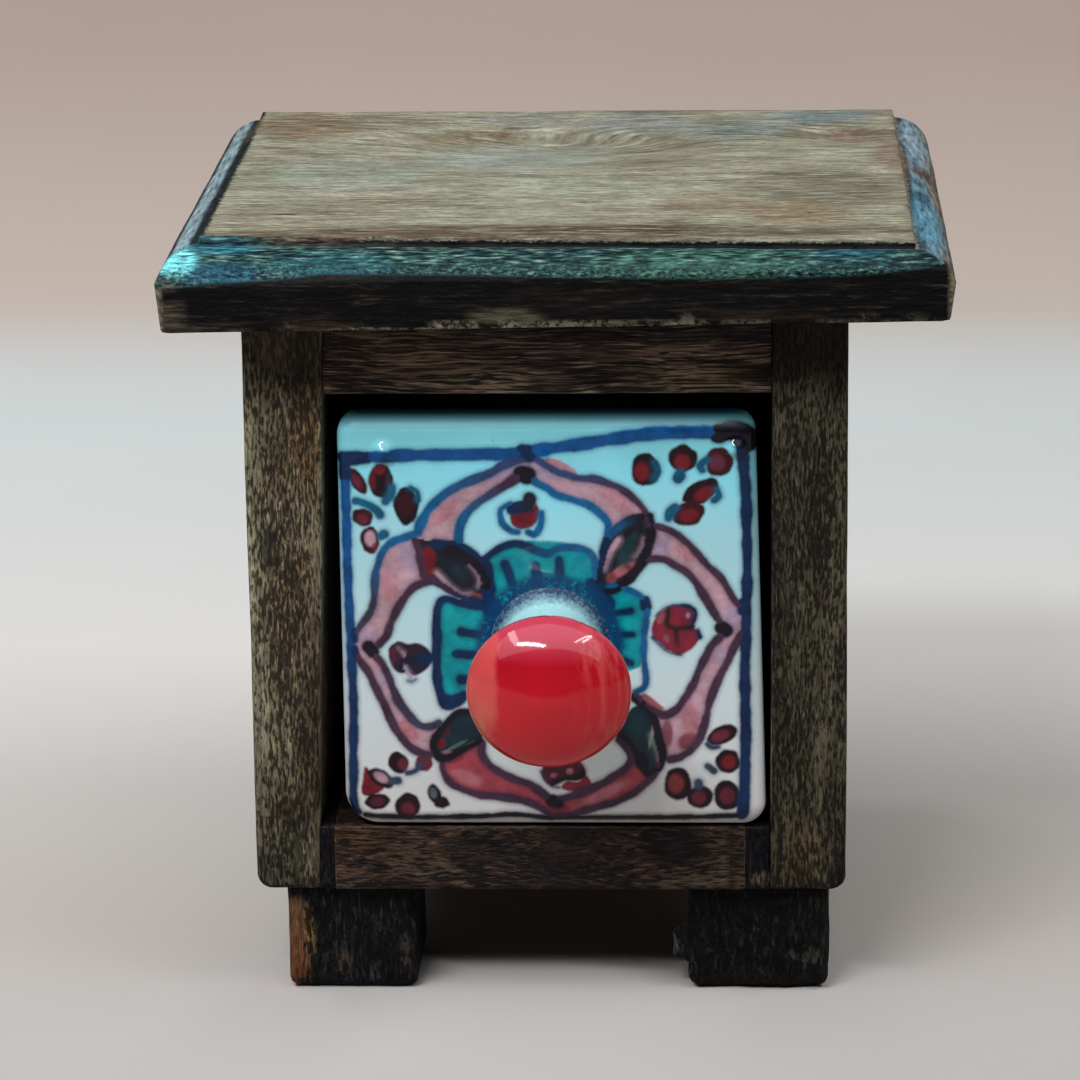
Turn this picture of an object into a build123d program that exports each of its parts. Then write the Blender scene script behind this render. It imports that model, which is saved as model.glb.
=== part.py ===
# Small tabletop chest: a mango wood case with a moulded cap, four block feet and one glazed
# ceramic drawer with a round pull. The wood is sawn and nailed by hand, so several pieces are
# out of square on purpose. Lengths are in millimetres.
#
# Frame: +Z is up, the drawer opens towards -Y, and the origin is the middle of the whole
# outline on the surface that the feet stand on.

from build123d import *
import os

# Case
case_width = 86.4            # over the two side planks
case_depth = 88.3            # front of the planks to the back of the panel
foot_height = 16.3
floor_thickness = 9.8
opening_height = 65.2        # floor board to top rail
rail_height_left = 11.8      # opening to the cap, at the case's left side
rail_height_right = 12.9     # and at its right side, so the cap's underside slopes
plank_worn_edge = 0.8        # rounding of the planks' outer front edge
plank_foot_radius = 2.2      # rounding of the planks' lower outer edge

# Side planks: each is planed to a slight taper
left_plank_top = 11.7
left_plank_foot = 9.2
right_plank_top = 10.75
right_plank_foot = 11.05

# Floor board: cut narrow, with a filler strip beside it at each side
left_strip_width = 2.0
right_strip_width = 3.6

# Top rail and back panel
rail_depth = 12.0            # front to back
rail_setback = 0.3           # behind the planks' front edges
panel_thickness = 4.5
rebate_width = 5.5           # how far the back panel reaches into each plank
panel_clearance = 0.1        # beside the panel in its rebates

# Cap
cap_thickness = 11.6         # at its middle; the top face is level
cap_overhang_left = 10.8
cap_overhang_right = 14.6
cap_overhang_front = 11.0
cap_overhang_back = 1.0
cap_side_lean = 0.7          # the ends lean in by this much towards the underside
cap_corner_radius = 1.2      # upright front corners
side_moulding_width = 5.7    # end of the cap in to the raised field
side_moulding_drop = 5.6     # top face down to the lower edge of the moulding
front_moulding_left = 7.4    # front of the cap back to the field, at the field's left end
front_moulding_right = 3.8   # and at its right end
front_drop_left = 5.7        # top face down to the lower edge of the front moulding, left end
front_drop_right = 3.5       # and right end
step_drop = 1.3              # height of the step round the field
step_lean = 0.2              # how far the step leans out
step_ledge = 0.5             # flat between the step and the rounded moulding
moulding_bulge = 0.16        # crown of the rounded moulding as a share of its chord

# Drawer
drawer_left_gap = 1.9        # to the nearest part of the left plank
drawer_right_gap = 0.5       # to the nearest part of the right plank
drawer_top_gap = 2.95        # under the top rail
drawer_run_clearance = 0.25  # above the floor board
drawer_back_gap = 0.4        # before the back panel
drawer_proud = 1.0           # front face ahead of the planks
drawer_narrowing = 1.7       # the right side leans in by this much up to the drawer's top
drawer_front_thickness = 5.5
drawer_wall = 4.4
drawer_floor = 4.6
drawer_wall_drop = 10.0      # the walls' rim below the top of the front
drawer_corner_radius = 4.0   # corners of the front, seen from the front
drawer_edge_radius = 2.6     # roll of the front face's edge
drawer_inner_radius = 3.0    # upright corners of the inside
drawer_floor_radius = 2.4    # inside, between floor and walls

# Pull, glazed and fired as one with the drawer
pull_height = 27.9           # axis above the drawer's underside
pull_offset = -0.5           # axis beside the middle of the drawer
pull_length = 26.0
pull_base_radius = 7.8
pull_neck_radius = 6.7
pull_neck_start = 3.3        # from the drawer's face to the narrowest part
pull_neck_end = 9.5          # and to where the neck starts to flare
pull_head_radius = 11.45
pull_rim_start = 18.4        # from the drawer's face to the widest part's back edge
pull_rim_end = 21.0          # and to its front edge
pull_dome_radius = 7.1       # a point on the dome: its distance from the axis
pull_dome_fall = 1.35        # and how far it lies behind the tip

# Wire nails and panel pins, named for how far they bite into the second piece
nail_radius = 0.8
nail_head_radius = 1.7
nail_head_thickness = 0.5
nail_point_length = 2.4
nail_sink = 0.3              # heads lie this far below the wood
nail_hole_clearance = 0.02
pin_radius = 0.55
pin_head_radius = 1.2
cap_nail_bite = 15.0
cap_nail_inset = 11.0        # from the case's front and back
rail_nail_bite = 12.0
floor_nail_bite = 11.0
floor_nail_inset = 28.0      # from the case's front and back
foot_nail_bite = 7.2
foot_nail_spread = 5.6       # either side of a foot's middle
pin_bite = 7.5
pin_margin = 14.0            # top and bottom pins from the panel's ends

# Feet: each block's width and its distance in from the case's side
feet = {
    "foot_front_left": (18.6, 4.2),
    "foot_front_right": (20.4, 2.6),
    "foot_back_left": (19.2, 3.8),
    "foot_back_right": (19.6, 3.2),
}
foot_depth = 20.0
foot_front_inset = 1.8
foot_back_inset = 2.4
foot_edge_radius = 1.0

# Working values
cutter_reach = 3.0           # how far cutting shapes stand outside what they cut
same_place = 0.01            # two edges nearer than this are the same edge

# Places worked out from the sizes above
cap_width = case_width + cap_overhang_left + cap_overhang_right
case_left = cap_overhang_left - cap_width / 2
case_right = case_left + case_width
pull_tip = drawer_proud + pull_length
case_front = (pull_tip - case_depth - cap_overhang_back) / 2
case_back = case_front + case_depth
cap_front = case_front - cap_overhang_front
cap_back = case_back + cap_overhang_back
field_half = cap_width / 2 - side_moulding_width
floor_top = foot_height + floor_thickness
opening_top = floor_top + opening_height
panel_front = case_back - panel_thickness


def underside_at(x):
    """Height of the cap's sloping underside."""
    share = (x - case_left) / case_width
    return opening_top + rail_height_left + share * (rail_height_right - rail_height_left)


cap_top = underside_at(0) + cap_thickness
above_all = cap_top + cutter_reach


def left_face_at(z):
    """Inner face of the left plank at a height."""
    share = (z - foot_height) / (underside_at(case_left) - foot_height)
    return case_left + left_plank_foot + share * (left_plank_top - left_plank_foot)


def right_face_at(z):
    """Inner face of the right plank at a height."""
    share = (z - foot_height) / (underside_at(case_right) - foot_height)
    return case_right - right_plank_foot - share * (right_plank_top - right_plank_foot)


drawer_left = max(left_face_at(floor_top), left_face_at(opening_top)) + drawer_left_gap
drawer_right = min(right_face_at(floor_top), right_face_at(opening_top)) - drawer_right_gap
drawer_base = floor_top + drawer_run_clearance
drawer_top = opening_top - drawer_top_gap
drawer_front = case_front - drawer_proud
drawer_back = panel_front - drawer_back_gap


def slab(points, front, back):
    """A solid with this outline in X and Z, from one Y to another."""
    outline = Polyline([(x, front, z) for x, z in points], close=True)
    return extrude(make_face(outline), amount=back - front, dir=(0, 1, 0))


def block(left, right, front, back, low, high):
    """An upright box between these six planes."""
    return slab([(left, low), (right, low), (right, high), (left, high)], front, back)


def nail(head, direction, length, radius, head_radius, grow=0.0):
    """A wire nail from the middle of its head's top; grow widens it into its hole."""
    shank = length - nail_point_length
    profile = Polyline(
        [
            (0, 0),
            (head_radius + grow, 0),
            (head_radius + grow, -nail_head_thickness - grow),
            (radius + grow, -nail_head_thickness - grow),
            (radius + grow, -shank),
            (0, -length - grow),
        ],
        close=True,
    )
    solid = revolve(make_face(profile), axis=Axis.Y)
    place = Plane(origin=head, z_dir=direction)
    return place * (Rot(90, 0, 0) * solid)


def nail_group(places, length, radius=nail_radius, head_radius=nail_head_radius):
    """Nails and the holes that they fill; each place is a point on the wood and a direction."""
    nails = []
    holes = []
    for point, direction in places:
        into = Vector(*direction)
        head = Vector(*point) + into * nail_sink
        nails.append(nail(head, -into, length, radius, head_radius))
        hole = nail(head, -into, length, radius, head_radius, nail_hole_clearance)
        mouth = Plane(origin=Vector(*point), z_dir=direction)
        mouth_solid = mouth * Cylinder(
            head_radius + nail_hole_clearance,
            nail_sink + nail_hole_clearance,
            align=(Align.CENTER, Align.CENTER, Align.MIN),
        )
        holes += [hole, mouth_solid]
    return nails, holes


def cut_holes(piece, holes):
    """The piece without the holes that reach it."""
    for hole in holes:
        piece = piece - hole
    return piece


# Side planks: upright boards whose tops follow the cap's slope, rebated for the back panel
def side_plank(outer, inner_at):
    foot_inner = inner_at(foot_height)
    top_inner = inner_at(underside_at(outer))
    outward = 1 if outer > foot_inner else -1
    points = [
        (outer, foot_height),
        (foot_inner, foot_height),
        (top_inner, underside_at(top_inner)),
        (outer, underside_at(outer)),
    ]
    plank = slab(points, case_front, case_back)
    lower = plank.edges().filter_by(Axis.Y).group_by(Axis.Z)[0]
    outer_lower = [edge for edge in lower if abs(edge.center().X - outer) < same_place]
    plank = fillet(outer_lower, plank_foot_radius)
    upright = plank.edges().group_by(Axis.Y)[0].filter_by(Axis.Z)
    outer_upright = [edge for edge in upright if abs(edge.center().X - outer) < same_place]
    plank = fillet(outer_upright, plank_worn_edge)
    rebate = [
        (foot_inner - outward * panel_thickness, foot_height - cutter_reach),
        (foot_inner + outward * rebate_width, foot_height - cutter_reach),
        (top_inner + outward * rebate_width, above_all),
        (top_inner - outward * panel_thickness, above_all),
    ]
    return plank - slab(rebate, panel_front, case_back + cutter_reach)


# Back panel: a thin board in the planks' rebates, from their foot to the cap
def back_panel():
    low_left = left_face_at(foot_height) - rebate_width + panel_clearance
    low_right = right_face_at(foot_height) + rebate_width - panel_clearance
    high_left = left_face_at(underside_at(case_left)) - rebate_width + panel_clearance
    high_right = right_face_at(underside_at(case_right)) + rebate_width - panel_clearance
    points = [
        (low_left, foot_height),
        (low_right, foot_height),
        (high_right, underside_at(high_right)),
        (high_left, underside_at(high_left)),
    ]
    return slab(points, panel_front, case_back)


# Floor board between its two filler strips, from the front to the back panel
def floor_pieces():
    left_low = left_face_at(foot_height)
    left_high = left_face_at(floor_top)
    right_low = right_face_at(foot_height)
    right_high = right_face_at(floor_top)
    board_left = left_high + left_strip_width
    board_right = right_high - right_strip_width
    board = block(board_left, board_right, case_front, panel_front, foot_height, floor_top)
    left_points = [
        (left_low, foot_height),
        (board_left, foot_height),
        (board_left, floor_top),
        (left_high, floor_top),
    ]
    right_points = [
        (board_right, foot_height),
        (right_low, foot_height),
        (right_high, floor_top),
        (board_right, floor_top),
    ]
    left_strip = slab(left_points, case_front, panel_front)
    right_strip = slab(right_points, case_front, panel_front)
    return board, left_strip, right_strip


# Top rail over the drawer, cut to the cap's slope
def top_rail():
    low_left = left_face_at(opening_top)
    low_right = right_face_at(opening_top)
    high_left = left_face_at(underside_at(case_left))
    high_right = right_face_at(underside_at(case_right))
    points = [
        (low_left, opening_top),
        (low_right, opening_top),
        (high_right, underside_at(high_right)),
        (high_left, underside_at(high_left)),
    ]
    front = case_front + rail_setback
    return slab(points, front, front + rail_depth)


# One block foot under the case
def foot(name):
    width, side_inset = feet[name]
    left = case_left + side_inset
    if name.endswith("right"):
        left = case_right - side_inset - width
    front = case_front + foot_front_inset
    if "back" in name:
        front = case_back - foot_back_inset - foot_depth
    solid = block(left, left + width, front, front + foot_depth, 0, foot_height)
    solid = fillet(solid.edges().filter_by(Axis.Z), foot_edge_radius)
    return solid, (left + width / 2, front + foot_depth / 2)


# The waste above a moulding: the step, its ledge and the rounded part down to the edge
def waste_outline(edge, field, drop):
    """Points across a moulding: its edge, crown, ledge and step, then round outside the cap."""
    toward = 1 if field > edge else -1
    chord_start = (edge, cap_top - drop)
    ledge_outer = (field - toward * (step_lean + step_ledge), cap_top - step_drop)
    step_foot = (field - toward * step_lean, cap_top - step_drop)
    run = ledge_outer[0] - chord_start[0]
    rise = ledge_outer[1] - chord_start[1]
    crown = (
        (chord_start[0] + ledge_outer[0]) / 2 - rise * toward * moulding_bulge,
        (chord_start[1] + ledge_outer[1]) / 2 + abs(run) * moulding_bulge,
    )
    return [
        chord_start,
        crown,
        ledge_outer,
        step_foot,
        (field, cap_top),
        (field, cap_top + cutter_reach),
        (edge - toward * cutter_reach, cap_top + cutter_reach),
        (edge - toward * cutter_reach, cap_top - drop),
    ]


def waste_wire(points, place):
    """Closed wire through the outline, with the rounded part as an arc; place maps to space."""
    spots = [place(across, z) for across, z in points]
    arc = ThreePointArc(spots[0], spots[1], spots[2])
    lines = Polyline(spots[2:] + [spots[0]])
    return Wire([arc.edge()] + list(lines.edges()))


# Cap: a board with a level field, a step and a rounded moulding on its front and both sides
def cap_board():
    half = cap_width / 2
    blank = slab(
        [
            (-half + cap_side_lean, underside_at(-half + cap_side_lean)),
            (half - cap_side_lean, underside_at(half - cap_side_lean)),
            (half, cap_top - side_moulding_drop),
            (half, cap_top),
            (-half, cap_top),
            (-half, cap_top - side_moulding_drop),
        ],
        cap_front,
        cap_back,
    )
    uprights = [
        edge
        for edge in blank.edges().group_by(Axis.Y)[0]
        if abs(edge.center().X) > half - cap_side_lean
    ]
    blank = fillet(uprights, cap_corner_radius)
    for side in (-1, 1):
        points = waste_outline(side * half, side * field_half, side_moulding_drop)
        wire = waste_wire(points, lambda across, z: (across, cap_front - cutter_reach, z))
        run = cap_back - cap_front + 2 * cutter_reach
        blank = blank - extrude(make_face(wire), amount=run, dir=(0, 1, 0))
    ends = []
    for x in (-half - cutter_reach, half + cutter_reach):
        share = (x + field_half) / (2 * field_half)
        moulding = front_moulding_left + share * (front_moulding_right - front_moulding_left)
        drop = front_drop_left + share * (front_drop_right - front_drop_left)
        points = waste_outline(cap_front, cap_front + moulding, drop)
        ends.append(make_face(waste_wire(points, lambda across, z: (x, across, z))))
    return blank - loft(ends, ruled=True)


# Drawer: an open-topped ceramic box whose front stands higher than its walls
def drawer_outline(inset, low, high):
    """Corners of the drawer's section in X and Z, drawn in by inset at both sides."""
    lean = drawer_narrowing / (drawer_top - drawer_base)
    return [
        (drawer_left + inset, low),
        (drawer_right - lean * (low - drawer_base) - inset, low),
        (drawer_right - lean * (high - drawer_base) - inset, high),
        (drawer_left + inset, high),
    ]


def running_along(direction):
    """A filter for edges that run along an axis, or nearly so."""
    return lambda edge: abs(edge.tangent_at(0.5).dot(direction.direction)) > 0.99


def drawer_box():
    body = slab(drawer_outline(0, drawer_base, drawer_top), drawer_front, drawer_back)
    body = fillet(body.edges().filter_by(running_along(Axis.Y)), drawer_corner_radius)
    body = fillet(body.edges().group_by(Axis.Y)[0], drawer_edge_radius)
    cavity_front = drawer_front + drawer_front_thickness
    floor_face = drawer_base + drawer_floor
    inside = drawer_outline(drawer_wall, floor_face, above_all)
    cavity = slab(inside, cavity_front, drawer_back - drawer_wall)
    cavity = fillet(cavity.edges().filter_by(running_along(Axis.Z)), drawer_inner_radius)
    cavity = fillet(cavity.edges().group_by(Axis.Z)[0], drawer_floor_radius)
    rim = drawer_top - drawer_wall_drop
    over_walls = block(case_left, case_right, cavity_front, cap_back, rim, above_all)
    return body - cavity - over_walls


# Pull: a short neck, a flared back, a rounded rim and a low dome, turned about one axis
def drawer_pull():
    profile = [
        Line((0, 0), (pull_base_radius, 0)),
        Spline(
            (pull_base_radius, 0),
            (pull_neck_radius, pull_neck_start),
            (pull_neck_radius, pull_neck_end),
            (pull_head_radius, pull_rim_start),
            tangents=[(-1, 1), (0.25, 1)],
        ),
        Line((pull_head_radius, pull_rim_start), (pull_head_radius, pull_rim_end)),
        Spline(
            (pull_head_radius, pull_rim_end),
            (pull_dome_radius, pull_length - pull_dome_fall),
            (0, pull_length),
            tangents=[(-0.25, 1), (-1, 0)],
        ),
        Line((0, pull_length), (0, 0)),
    ]
    solid = revolve(make_face(Wire([curve.edge() for curve in profile])), axis=Axis.Y)
    across = (drawer_left + drawer_right) / 2 + pull_offset
    return Pos(across, drawer_front, drawer_base + pull_height) * (Rot(0, 0, 180) * solid)


# Build the pieces
pieces = {
    "cap_board": cap_board(),
    "side_left": side_plank(case_left, left_face_at),
    "side_right": side_plank(case_right, right_face_at),
    "top_rail": top_rail(),
    "back_panel": back_panel(),
    "drawer_box": drawer_box(),
    "drawer_pull": drawer_pull(),
}
pieces["floor_board"], pieces["filler_strip_left"], pieces["filler_strip_right"] = floor_pieces()
foot_middles = []
for name in feet:
    pieces[name], middle = foot(name)
    foot_middles.append(middle)

# Nails, each group with the points where it is driven in and the way that it goes
left_middle = case_left + left_plank_top / 2
right_middle = case_right - right_plank_top / 2
rail_middle_z = (opening_top + underside_at(0)) / 2
rail_middle_y = case_front + rail_setback + rail_depth / 2
floor_middle_z = foot_height + floor_thickness / 2
cap_nail_rows = (case_front + cap_nail_inset, case_back - cap_nail_inset)
floor_nail_rows = (case_front + floor_nail_inset, case_back - floor_nail_inset)
lowest_pin = foot_height + pin_margin
highest_pin = underside_at(case_left) - pin_margin
pin_heights = (lowest_pin, (lowest_pin + highest_pin) / 2, highest_pin)

cap_places = []
for x in (left_middle, right_middle):
    for y in cap_nail_rows:
        cap_places.append(((x, y, cap_top), (0, 0, -1)))

rail_places = []
floor_places = []
for x, inward in ((case_left, 1), (case_right, -1)):
    rail_places.append(((x, rail_middle_y, rail_middle_z), (inward, 0, 0)))
    for y in floor_nail_rows:
        floor_places.append(((x, y, floor_middle_z), (inward, 0, 0)))

foot_places = []
for x, y in foot_middles:
    for step in (-foot_nail_spread, foot_nail_spread):
        foot_places.append(((x + step, y, 0), (0, 0, 1)))

pin_places = []
for z in pin_heights:
    for x in (left_face_at(z) - rebate_width / 2, right_face_at(z) + rebate_width / 2):
        pin_places.append(((x, case_back, z), (0, -1, 0)))

thickest_top = max(left_plank_top, right_plank_top)
thickest_foot = max(left_plank_foot, right_plank_foot) + max(left_strip_width, right_strip_width)
sides = ("side_left", "side_right")
floor_group = (*sides, "filler_strip_left", "filler_strip_right", "floor_board")
nail_sets = {
    "cap_nails": (
        nail_group(cap_places, cap_thickness + cap_nail_bite),
        ("cap_board", *sides),
    ),
    "rail_nails": (
        nail_group(rail_places, thickest_top + rail_nail_bite),
        ("top_rail", *sides),
    ),
    "floor_nails": (
        nail_group(floor_places, thickest_foot + floor_nail_bite),
        floor_group,
    ),
    "foot_nails": (
        nail_group(foot_places, foot_height + foot_nail_bite),
        (*feet, *floor_group),
    ),
    "back_pins": (
        nail_group(pin_places, panel_thickness + pin_bite, pin_radius, pin_head_radius),
        ("back_panel", *sides),
    ),
}
for node, ((nails, holes), drilled) in nail_sets.items():
    for name in drilled:
        pieces[name] = cut_holes(pieces[name], holes)
    pieces[node] = Compound(children=nails)

# Write one file for each piece
os.makedirs("parts", exist_ok=True)
for name, solid in pieces.items():
    solid.label = name
    export_step(solid, f"parts/{name}.step")
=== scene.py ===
import math
from functools import partial

import bmesh
import bpy
import numpy as np
from mathutils import Matrix, Vector, noise


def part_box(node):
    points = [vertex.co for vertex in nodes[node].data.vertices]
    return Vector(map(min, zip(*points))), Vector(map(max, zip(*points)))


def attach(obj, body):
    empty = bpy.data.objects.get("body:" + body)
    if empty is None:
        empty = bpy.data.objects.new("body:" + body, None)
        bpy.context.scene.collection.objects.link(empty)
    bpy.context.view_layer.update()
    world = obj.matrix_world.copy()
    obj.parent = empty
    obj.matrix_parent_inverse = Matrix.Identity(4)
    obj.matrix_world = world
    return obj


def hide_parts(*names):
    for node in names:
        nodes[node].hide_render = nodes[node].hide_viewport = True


# Small tabletop chest: a waxed mango wood case and cap round a painted ceramic drawer.
# Sizes in the dictionaries are millimetres, and mm turns them to Blender's metres.
mm = 0.001

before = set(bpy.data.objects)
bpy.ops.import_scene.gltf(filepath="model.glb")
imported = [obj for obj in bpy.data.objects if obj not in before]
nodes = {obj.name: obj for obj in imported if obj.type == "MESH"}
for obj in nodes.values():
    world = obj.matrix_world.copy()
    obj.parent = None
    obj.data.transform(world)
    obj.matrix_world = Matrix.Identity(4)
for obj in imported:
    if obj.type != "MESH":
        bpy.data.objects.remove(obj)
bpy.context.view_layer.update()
print("frame loaded:", len(nodes), "nodes")


# Shaders and small tools

def linear(hexText):
    # sRGB hex to the linear colour that a shader reads
    parts = [int(hexText[i:i + 2], 16) / 255 for i in (1, 3, 5)]
    return [c / 12.92 if c <= 0.04045 else ((c + 0.055) / 1.055) ** 2.4 for c in parts] + [1.0]


def addNode(tree, kind, *values, stops=(), out=0, **settings):
    # One shader node. Its values go to the sockets that it shows, in their order, or by name
    # from a dictionary; each is a link, a number or a hex colour. Gives back the wanted output.
    node = tree.nodes.new("ShaderNode" + kind)
    for name, value in settings.items():
        setattr(node, name, value)
    named = values[-1].items() if values and isinstance(values[-1], dict) else ()
    shown = [socket for socket in node.inputs if socket.enabled]
    pairs = [*zip(shown, values[:-1] if named else values)]
    for socket, value in pairs + [(node.inputs[name], value) for name, value in named]:
        if isinstance(value, bpy.types.NodeSocket):
            tree.links.new(value, socket)
        else:
            socket.default_value = linear(value) if isinstance(value, str) else value
    if stops:
        marks = node.color_ramp.elements
        for place, colour in stops[1:-1]:
            marks.new(place).color = linear(colour)
        for mark, (place, colour) in ((marks[0], stops[0]), (marks[-1], stops[-1])):
            mark.position = place
            mark.color = linear(colour)
    return node.outputs[out] if node.outputs else node


# settings of a Mix node that lays a colour over another, and of one that shades it
over = {"data_type": "RGBA", "out": 2}
times = {"data_type": "RGBA", "out": 2, "blend_type": "MULTIPLY"}


def newMaterial(name):
    # an empty material, and addNode for its tree
    material = bpy.data.materials.new(name)
    material.use_nodes = True
    material.node_tree.nodes.clear()
    return material, partial(addNode, material.node_tree)


def grainPattern(add, place, axis, across, along, detail=3.0, rough=0.5, out=0, **turned):
    # uneven streaks along an axis, from their size in millimetres across it and along it
    scale = [1 / (across * mm)] * 3
    scale["XYZ".index(axis)] = 1 / (along * mm)
    drawn = add("Mapping", place, {"Scale": scale, **turned})
    return add("TexNoise", drawn, 1.0, detail, rough, out=out)


def putAttribute(mesh, name, values):
    # a number, or a colour, for each vertex
    values = np.asarray(values, dtype=np.float32)
    if values.ndim == 1:
        mesh.attributes.new(name, "FLOAT", "POINT").data.foreach_set("value", values)
    else:
        solid = np.ones((len(values), 4), np.float32)
        solid[:, :3] = values
        layer = mesh.attributes.new(name, "FLOAT_COLOR", "POINT")
        layer.data.foreach_set("color", solid.ravel())


def addObject(name, data):
    # in the scene, with its origin at the world's
    thing = bpy.data.objects.new(name, data)
    bpy.context.scene.collection.objects.link(thing)
    return thing


def addPiece(bm, name, material):
    # the finished mesh as a smooth object
    for face in bm.faces:
        face.smooth = True
    mesh = bpy.data.meshes.new(name)
    bm.to_mesh(mesh)
    bm.free()
    mesh.materials.append(material)
    return addObject(name, mesh)


def dressNode(bm, name, material, body, node):
    # a piece that rides on its body in place of a CAD node
    piece = addPiece(bm, name, material)
    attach(piece, body)
    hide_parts(node)
    return piece


def smoothShare(value, low, high):
    # 0 below low, 1 above high, eased between
    share = np.clip((value - low) / (high - low), 0, 1)
    return share * share * (3 - 2 * share)


def spotsOf(bm):
    # every vertex's place in millimetres
    return np.array([vert.co / mm for vert in bm.verts])


# Studio: a pale floor that sweeps up into a pinkish backdrop, and soft lamps

studio = {
    # the board's tones from near to far and from the floor up, and the spans they cover
    "floorTones": [(0.0, "#bcb8b2"), (0.63, "#b1aca7"), (0.7, "#c3bbb2"), (0.84, "#e0dcd5"),
                   (1.0, "#d9deda")],
    "floorSpan": (-700, 300),
    "wallTones": [(0.0, "#d3d7d3"), (0.09, "#cabbae"), (0.33, "#b9a598"), (1.0, "#a89184")],
    "wallSpan": (0, 160),
    "wallFoot": 12,        # the rise over which the floor's tone turns to the wall's
    "cloudSize": 111.1,
    "halfSize": (2400, 1600),
    "bendStart": 260,      # distance behind the chest where the floor starts to rise
    "bendRadius": 420,
    "bounce": 0.6,         # how much of its tone the board throws back on the chest
    "skyTone": "#e8eaee",
    "skyStrength": 0.04,
    "aim": (0, 0, 55),
    # place, size, power and tone of each soft lamp
    "lamps": {
        "overheadLamp": ((0, -315, 790), (2300, 740), 7.8, "#f6f8fc"),
        "leftWindowLamp": ((-478, -20, 697), (860, 105), 2.0, "#f4f8ff"),
        "leftSillLamp": ((-278, -538, 734), (450, 70), 4.4, "#f4f8ff"),
        "rightWindowLamp": ((474, -189, 764), (540, 30), 0.9, "#f6f9ff"),
        "rightSideLamp": ((542, -128, 738), (470, 30), 0.9, "#f6f9ff"),
    },
}


def makeBackdrop():
    # matt painted board: an even tone, a little uneven, that warms with height
    material, add = newMaterial("mattPaintedBackdrop")
    place = add("TexCoord", out="Object")
    depth, height = (add("SeparateXYZ", place, out=axis) for axis in (1, 2))
    tones = []
    for way, part in ((depth, "floor"), (height, "wall")):
        low, high = studio[part + "Span"]
        share = add("MapRange", way, low * mm, high * mm)
        tones.append(add("ValToRGB", share, stops=studio[part + "Tones"]))
    onWall = add("MapRange", height, 0.0, studio["wallFoot"] * mm)
    tone = add("Mix", onWall, *tones, **over)
    cloud = add("TexNoise", place, 1 / (studio["cloudSize"] * mm), 3.0)
    shade = add("MapRange", cloud, 0.3, 0.7, 0.975, 1.02)
    tone = add("Mix", 1.0, tone, shade, **times)
    seen = add("LightPath", out="Is Camera Ray")
    kept = add("MapRange", seen, 0.0, 1.0, studio["bounce"], 1.0)
    tone = add("Mix", 1.0, tone, kept, **times)
    board = add("BsdfPrincipled", {"Base Color": tone, "Roughness": 0.85})
    # a camera that stands behind or under the board sees through it
    behind = add("NewGeometry", out="Backfacing")
    hidden = add("Math", behind, seen, operation="MULTIPLY")
    add("OutputMaterial", add("MixShader", hidden, board, add("BsdfTransparent")))
    return material


def buildStudio():
    bm = bmesh.new()
    bmesh.ops.create_grid(bm, x_segments=2, y_segments=60, size=1)
    start, radius, halfWide, halfDeep = (
        size * mm for size in (studio["bendStart"], studio["bendRadius"], *studio["halfSize"]))
    for vert in bm.verts:
        run = vert.co.y * halfDeep
        turn = min(max(run - start, 0) / radius, math.pi / 2)
        rise = max(run - start - radius * math.pi / 2, 0)
        vert.co = (vert.co.x * halfWide, min(run, start) + radius * math.sin(turn),
                   radius * (1 - math.cos(turn)) + rise)
    addPiece(bm, "sweep", makeBackdrop())

    world = bpy.data.worlds.new("softSky")
    bpy.context.scene.world = world
    world.use_nodes = True
    sky = world.node_tree.nodes["Background"]
    sky.inputs["Color"].default_value = linear(studio["skyTone"])
    sky.inputs["Strength"].default_value = studio["skyStrength"]

    aim = Vector(studio["aim"]) * mm
    for name, (place, size, power, tone) in studio["lamps"].items():
        lamp = bpy.data.lights.new(name, "AREA")
        lamp.shape = "RECTANGLE"
        lamp.size, lamp.size_y = size[0] * mm, size[1] * mm
        lamp.energy = power
        lamp.color = linear(tone)[:3]
        holder = addObject(name, lamp)
        holder.location = Vector(place) * mm
        holder.rotation_euler = (aim - holder.location).to_track_quat("-Z", "Y").to_euler()
    print("studio lit:", len(studio["lamps"]), "lamps")


# Camera: a long lens in front of the chest, looking a little down on it
cameraView = {
    "place": (25.325, -670.529, 253.763),
    "lens": 154.5,
    "sensor": 36,
    "nearest": 10,
    "yaw": -0.044,       # radians, turned from straight ahead
    "pitch": 0.28,       # down
    "roll": 0.013,
}


def buildCamera():
    yaw, pitch, roll = (cameraView[name] for name in ("yaw", "pitch", "roll"))
    ahead = Vector((math.sin(yaw) * math.cos(pitch), math.cos(yaw) * math.cos(pitch),
                    -math.sin(pitch)))
    across = Vector((math.cos(yaw), -math.sin(yaw), 0))
    down = ahead.cross(across)
    right = math.cos(roll) * across + math.sin(roll) * down
    up = math.sin(roll) * across - math.cos(roll) * down
    turned = Matrix((right, up, -ahead)).transposed().to_4x4()
    camera = bpy.data.cameras.new("camera")
    camera.lens = cameraView["lens"]
    camera.sensor_width = cameraView["sensor"]
    camera.clip_start = cameraView["nearest"] * mm
    holder = addObject("camera", camera)
    holder.matrix_world = Matrix.Translation(Vector(cameraView["place"]) * mm) @ turned
    bpy.context.scene.camera = holder
    bpy.context.scene.view_settings.view_transform = "Standard"


# Wood: mango boards sawn, planed and nailed by hand, then stained and waxed
# Sizes of each pattern are in millimetres, across the grain and along it.

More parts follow.
